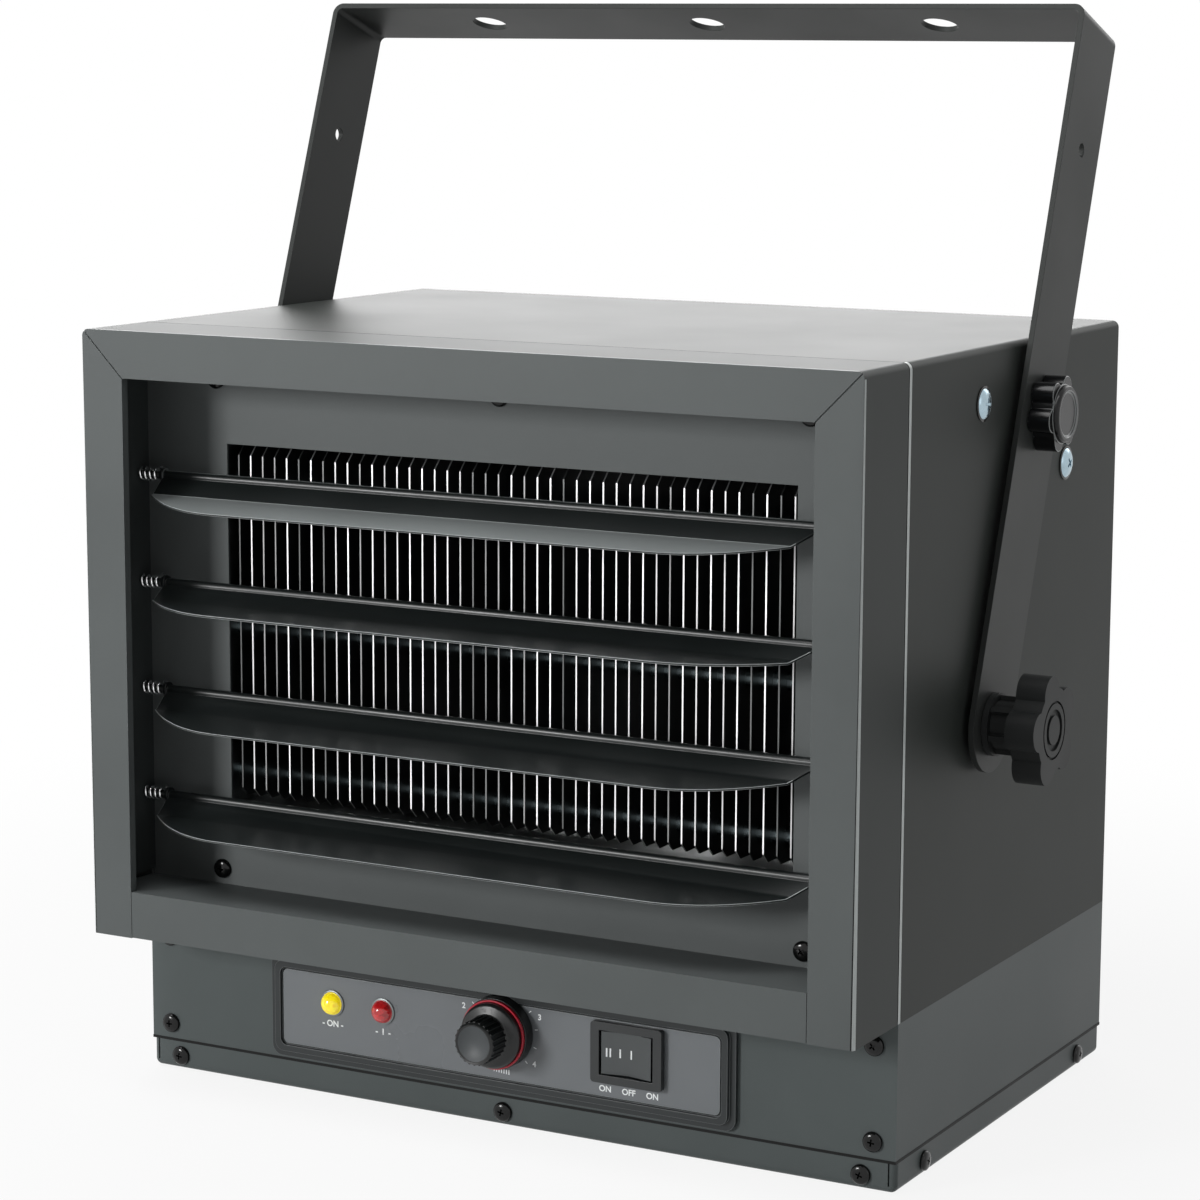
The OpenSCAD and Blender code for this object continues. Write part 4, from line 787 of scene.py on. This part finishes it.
# %% Where the separate solids of a node are
def solids_of(node):
    """The lowest and highest corner of each separate solid in a CAD node."""
    mesh = bmesh.new()
    mesh.from_mesh(nodes[node].data)
    bmesh.ops.remove_doubles(mesh, verts=mesh.verts, dist=merge_gap)
    left, boxes = set(mesh.verts), []
    while left:
        reached = [left.pop()]
        for vert in reached:
            for edge in vert.link_edges:
                other = edge.other_vert(vert)
                if other in left:
                    left.remove(other)
                    reached.append(other)
        boxes.append([Vector(pick_one(vert.co[i] for vert in reached) for i in range(3))
                      for pick_one in (min, max)])
    mesh.free()
    return sorted(boxes, key=lambda box: tuple(box[0]))


print("solids:", {name: len(solids_of(name)) for name in ("box_screws", "cover_screws", "louver_springs")})

# %% One screw
head_h = 0.0022
taper = 0.4


def screw(head_r, rim_h, steps, shank_r, length, arm, width, depth):
    """A screw with its seat at the origin and its head up. The steps are the crown's insets and rises."""
    bpy.ops.mesh.primitive_cylinder_add(vertices=40, radius=head_r, depth=rim_h, location=(0, 0, rim_h / 2))
    piece = bpy.context.object
    bpy.ops.object.transform_apply(location=True)
    edit(piece)
    pick(piece, lambda face: face.normal.z > 0.9)
    for inset, rise in steps:
        bpy.ops.mesh.inset(thickness=inset, depth=rise)
    pick(piece, lambda face: face.normal.z < -0.9)
    bpy.ops.mesh.inset(thickness=head_r - shank_r)
    bpy.ops.mesh.extrude_region_move(TRANSFORM_OT_translate={"value": (0, 0, -length)})
    object_mode()
    top = rim_h + sum(rise for _, rise in steps)
    bpy.ops.mesh.primitive_cube_add(size=width, location=(0, 0, top))
    cross = bpy.context.object
    cross.scale.z = 2 * depth / width
    bpy.ops.object.transform_apply(location=True, scale=True)
    edit(cross)
    pick(cross, lambda face: abs(face.normal.z) < 0.5)
    bpy.ops.mesh.extrude_faces_move(TRANSFORM_OT_shrink_fatten={"value": arm})
    pick(cross, lambda vert: vert.co.z < top, kind="VERT")
    bpy.ops.transform.resize(value=(taper, taper, 1), center_override=(0, 0, top))
    object_mode()
    only(piece)
    bpy.ops.object.modifier_add(type="BOOLEAN")
    cut = piece.modifiers[-1]
    cut.operation = "DIFFERENCE"
    cut.object = cross
    bpy.ops.object.modifier_apply(modifier=cut.name)
    bpy.data.objects.remove(cross)
    return piece


def set_in(master, node, outward, name, material):
    """Copies a screw into each solid of a node, its head outwards, and joins the copies to one piece."""
    turn_each = 2.3
    copies = []
    for number, (low, high) in enumerate(solids_of(node)):
        middle = (low + high) / 2
        way = outward(middle)
        reach = abs(way.dot(high - middle))
        copy = bpy.data.objects.new(f"{name}_{number}", master.data.copy())
        copy.matrix_world = (Matrix.Translation(middle + way * (reach - head_h))
                             @ way.to_track_quat("Z", "Y").to_matrix().to_4x4()
                             @ Matrix.Rotation(number * turn_each, 4, "Z"))
        bpy.context.scene.collection.objects.link(copy)
        copies.append(copy)
    piece = settle(joined(copies), name, node, material)
    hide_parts(node)
    print(name, "holds", len(copies), "copies")


# %% Which way a screw looks
def to_front(middle):
    """Out of the front."""
    return Vector((0, -1, 0))


def to_back(middle):
    """Out of the back."""
    return Vector((0, 1, 0))


def to_side(middle):
    """Out of the nearer side."""
    return Vector((math.copysign(1, middle.x), 0, 0))


def to_outside(middle):
    """Out of whichever wall of the case the screw sits in."""
    if abs(middle.x) > 0.17:
        return to_side(middle)
    return Vector((0, math.copysign(1, middle.y), 0))


print("a screw at the right looks along", list(to_side(Vector((1, 0, 0)))))

# %% Black pan-head screws
pan = screw(head_r=0.0042, rim_h=0.0008,
            steps=[(0.0002, 0.0005), (0.0006, 0.00045), (0.0009, 0.0003), (0.0012, 0.00015)],
            shank_r=0.0017, length=0.0045, arm=0.0017, width=0.001, depth=0.0013)
for node, outward in (("baffle_screws", to_front), ("box_screws", to_front), ("cover_screws", to_outside),
                      ("back_screws", to_back), ("guard_screws", to_back)):
    set_in(pan, node, outward, node + "_pan", screw_black)
set_in(pan, "motor_bolts", to_front, "motor_bolts_pan", zinc_plate)
bpy.data.objects.remove(pan)

# %% Wide zinc screws
washer_r, washer_h = 0.0072, 0.0004
truss = screw(head_r=0.0062, rim_h=0.0006,
              steps=[(0.0005, 0.0005), (0.0009, 0.0005), (0.0011, 0.0003), (0.0013, 0.0002),
                     (0.0012, 0.0001)],
              shank_r=0.003, length=0.006, arm=0.0028, width=0.0015, depth=0.0016)
bpy.ops.mesh.primitive_cylinder_add(vertices=48, radius=washer_r, depth=washer_h,
                                    location=(0, 0, washer_h / 2))
washer = bpy.context.object
edit(washer)
pick(washer, lambda face: face.normal.z > 0.9)
bpy.ops.mesh.inset(thickness=0.0003, depth=0.0001)
object_mode()
washer.data.materials.append(screw_black)
truss.data.materials.append(zinc_plate)
truss = joined([truss, washer])
set_in(truss, "index_screws", to_side, "index_screws_truss", None)
bpy.data.objects.remove(truss)

# %% [markdown]
# ## Louver springs
# A small compression spring sits on each louver's left pivot pin, between the side plate and the bead's
# collar. A bevelled curve could follow a helix, but the screw modifier winds a round section straight
# into a tube with even rings, and its two ends are simple to close. The last turn opens out and rises
# over the bead, where the real spring hooks round it.

# %% Wind one spring and copy it to the four pins
spring_turns = 4
steps_a_turn = 20
open_out = 1.45
boxes = solids_of("louver_springs")
low, high = boxes[0]
wire_r = 0.00065
coil_r = (high.z - low.z) / 2 - wire_r
coil_l = high.x - low.x - 2 * wire_r
bpy.ops.mesh.primitive_circle_add(vertices=12, radius=wire_r, location=(0, 0, coil_r),
                                  rotation=(math.radians(90), 0, 0))
spring = bpy.context.object
bpy.ops.object.transform_apply(location=True, rotation=True)
bpy.ops.object.modifier_add(type="SCREW")
wind = spring.modifiers[-1]
wind.axis = "X"
wind.angle = 2 * math.pi * spring_turns
wind.screw_offset = coil_l
wind.steps = wind.render_steps = steps_a_turn * spring_turns
wind.use_merge_vertices = False
bpy.ops.object.modifier_apply(modifier=wind.name)
edit(spring)
bpy.ops.mesh.select_all(action="SELECT")
bpy.ops.mesh.fill_holes(sides=0)
bpy.ops.mesh.select_all(action="SELECT")
bpy.ops.mesh.normals_make_consistent(inside=False)
object_mode()
last_turn = coil_l * (spring_turns - 1) / spring_turns
for vert in spring.data.vertices:
    share = min(1, max(0, (vert.co.x - last_turn) / (coil_l - last_turn)))
    vert.co.z += (open_out - 1) * coil_r * share * share
copies = []
for number, (low, high) in enumerate(boxes):
    copy = bpy.data.objects.new(f"spring_{number}", spring.data.copy())
    copy.location = (low.x + wire_r, (low.y + high.y) / 2, (low.z + high.z) / 2)
    bpy.context.scene.collection.objects.link(copy)
    copies.append(copy)
bpy.data.objects.remove(spring)
springs = settle(joined(copies), "louver_springs_wound", "louver_springs", bright_wire, smooth=60)
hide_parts("louver_springs")
print("springs:", len(boxes), "with", len(springs.data.polygons), "faces")
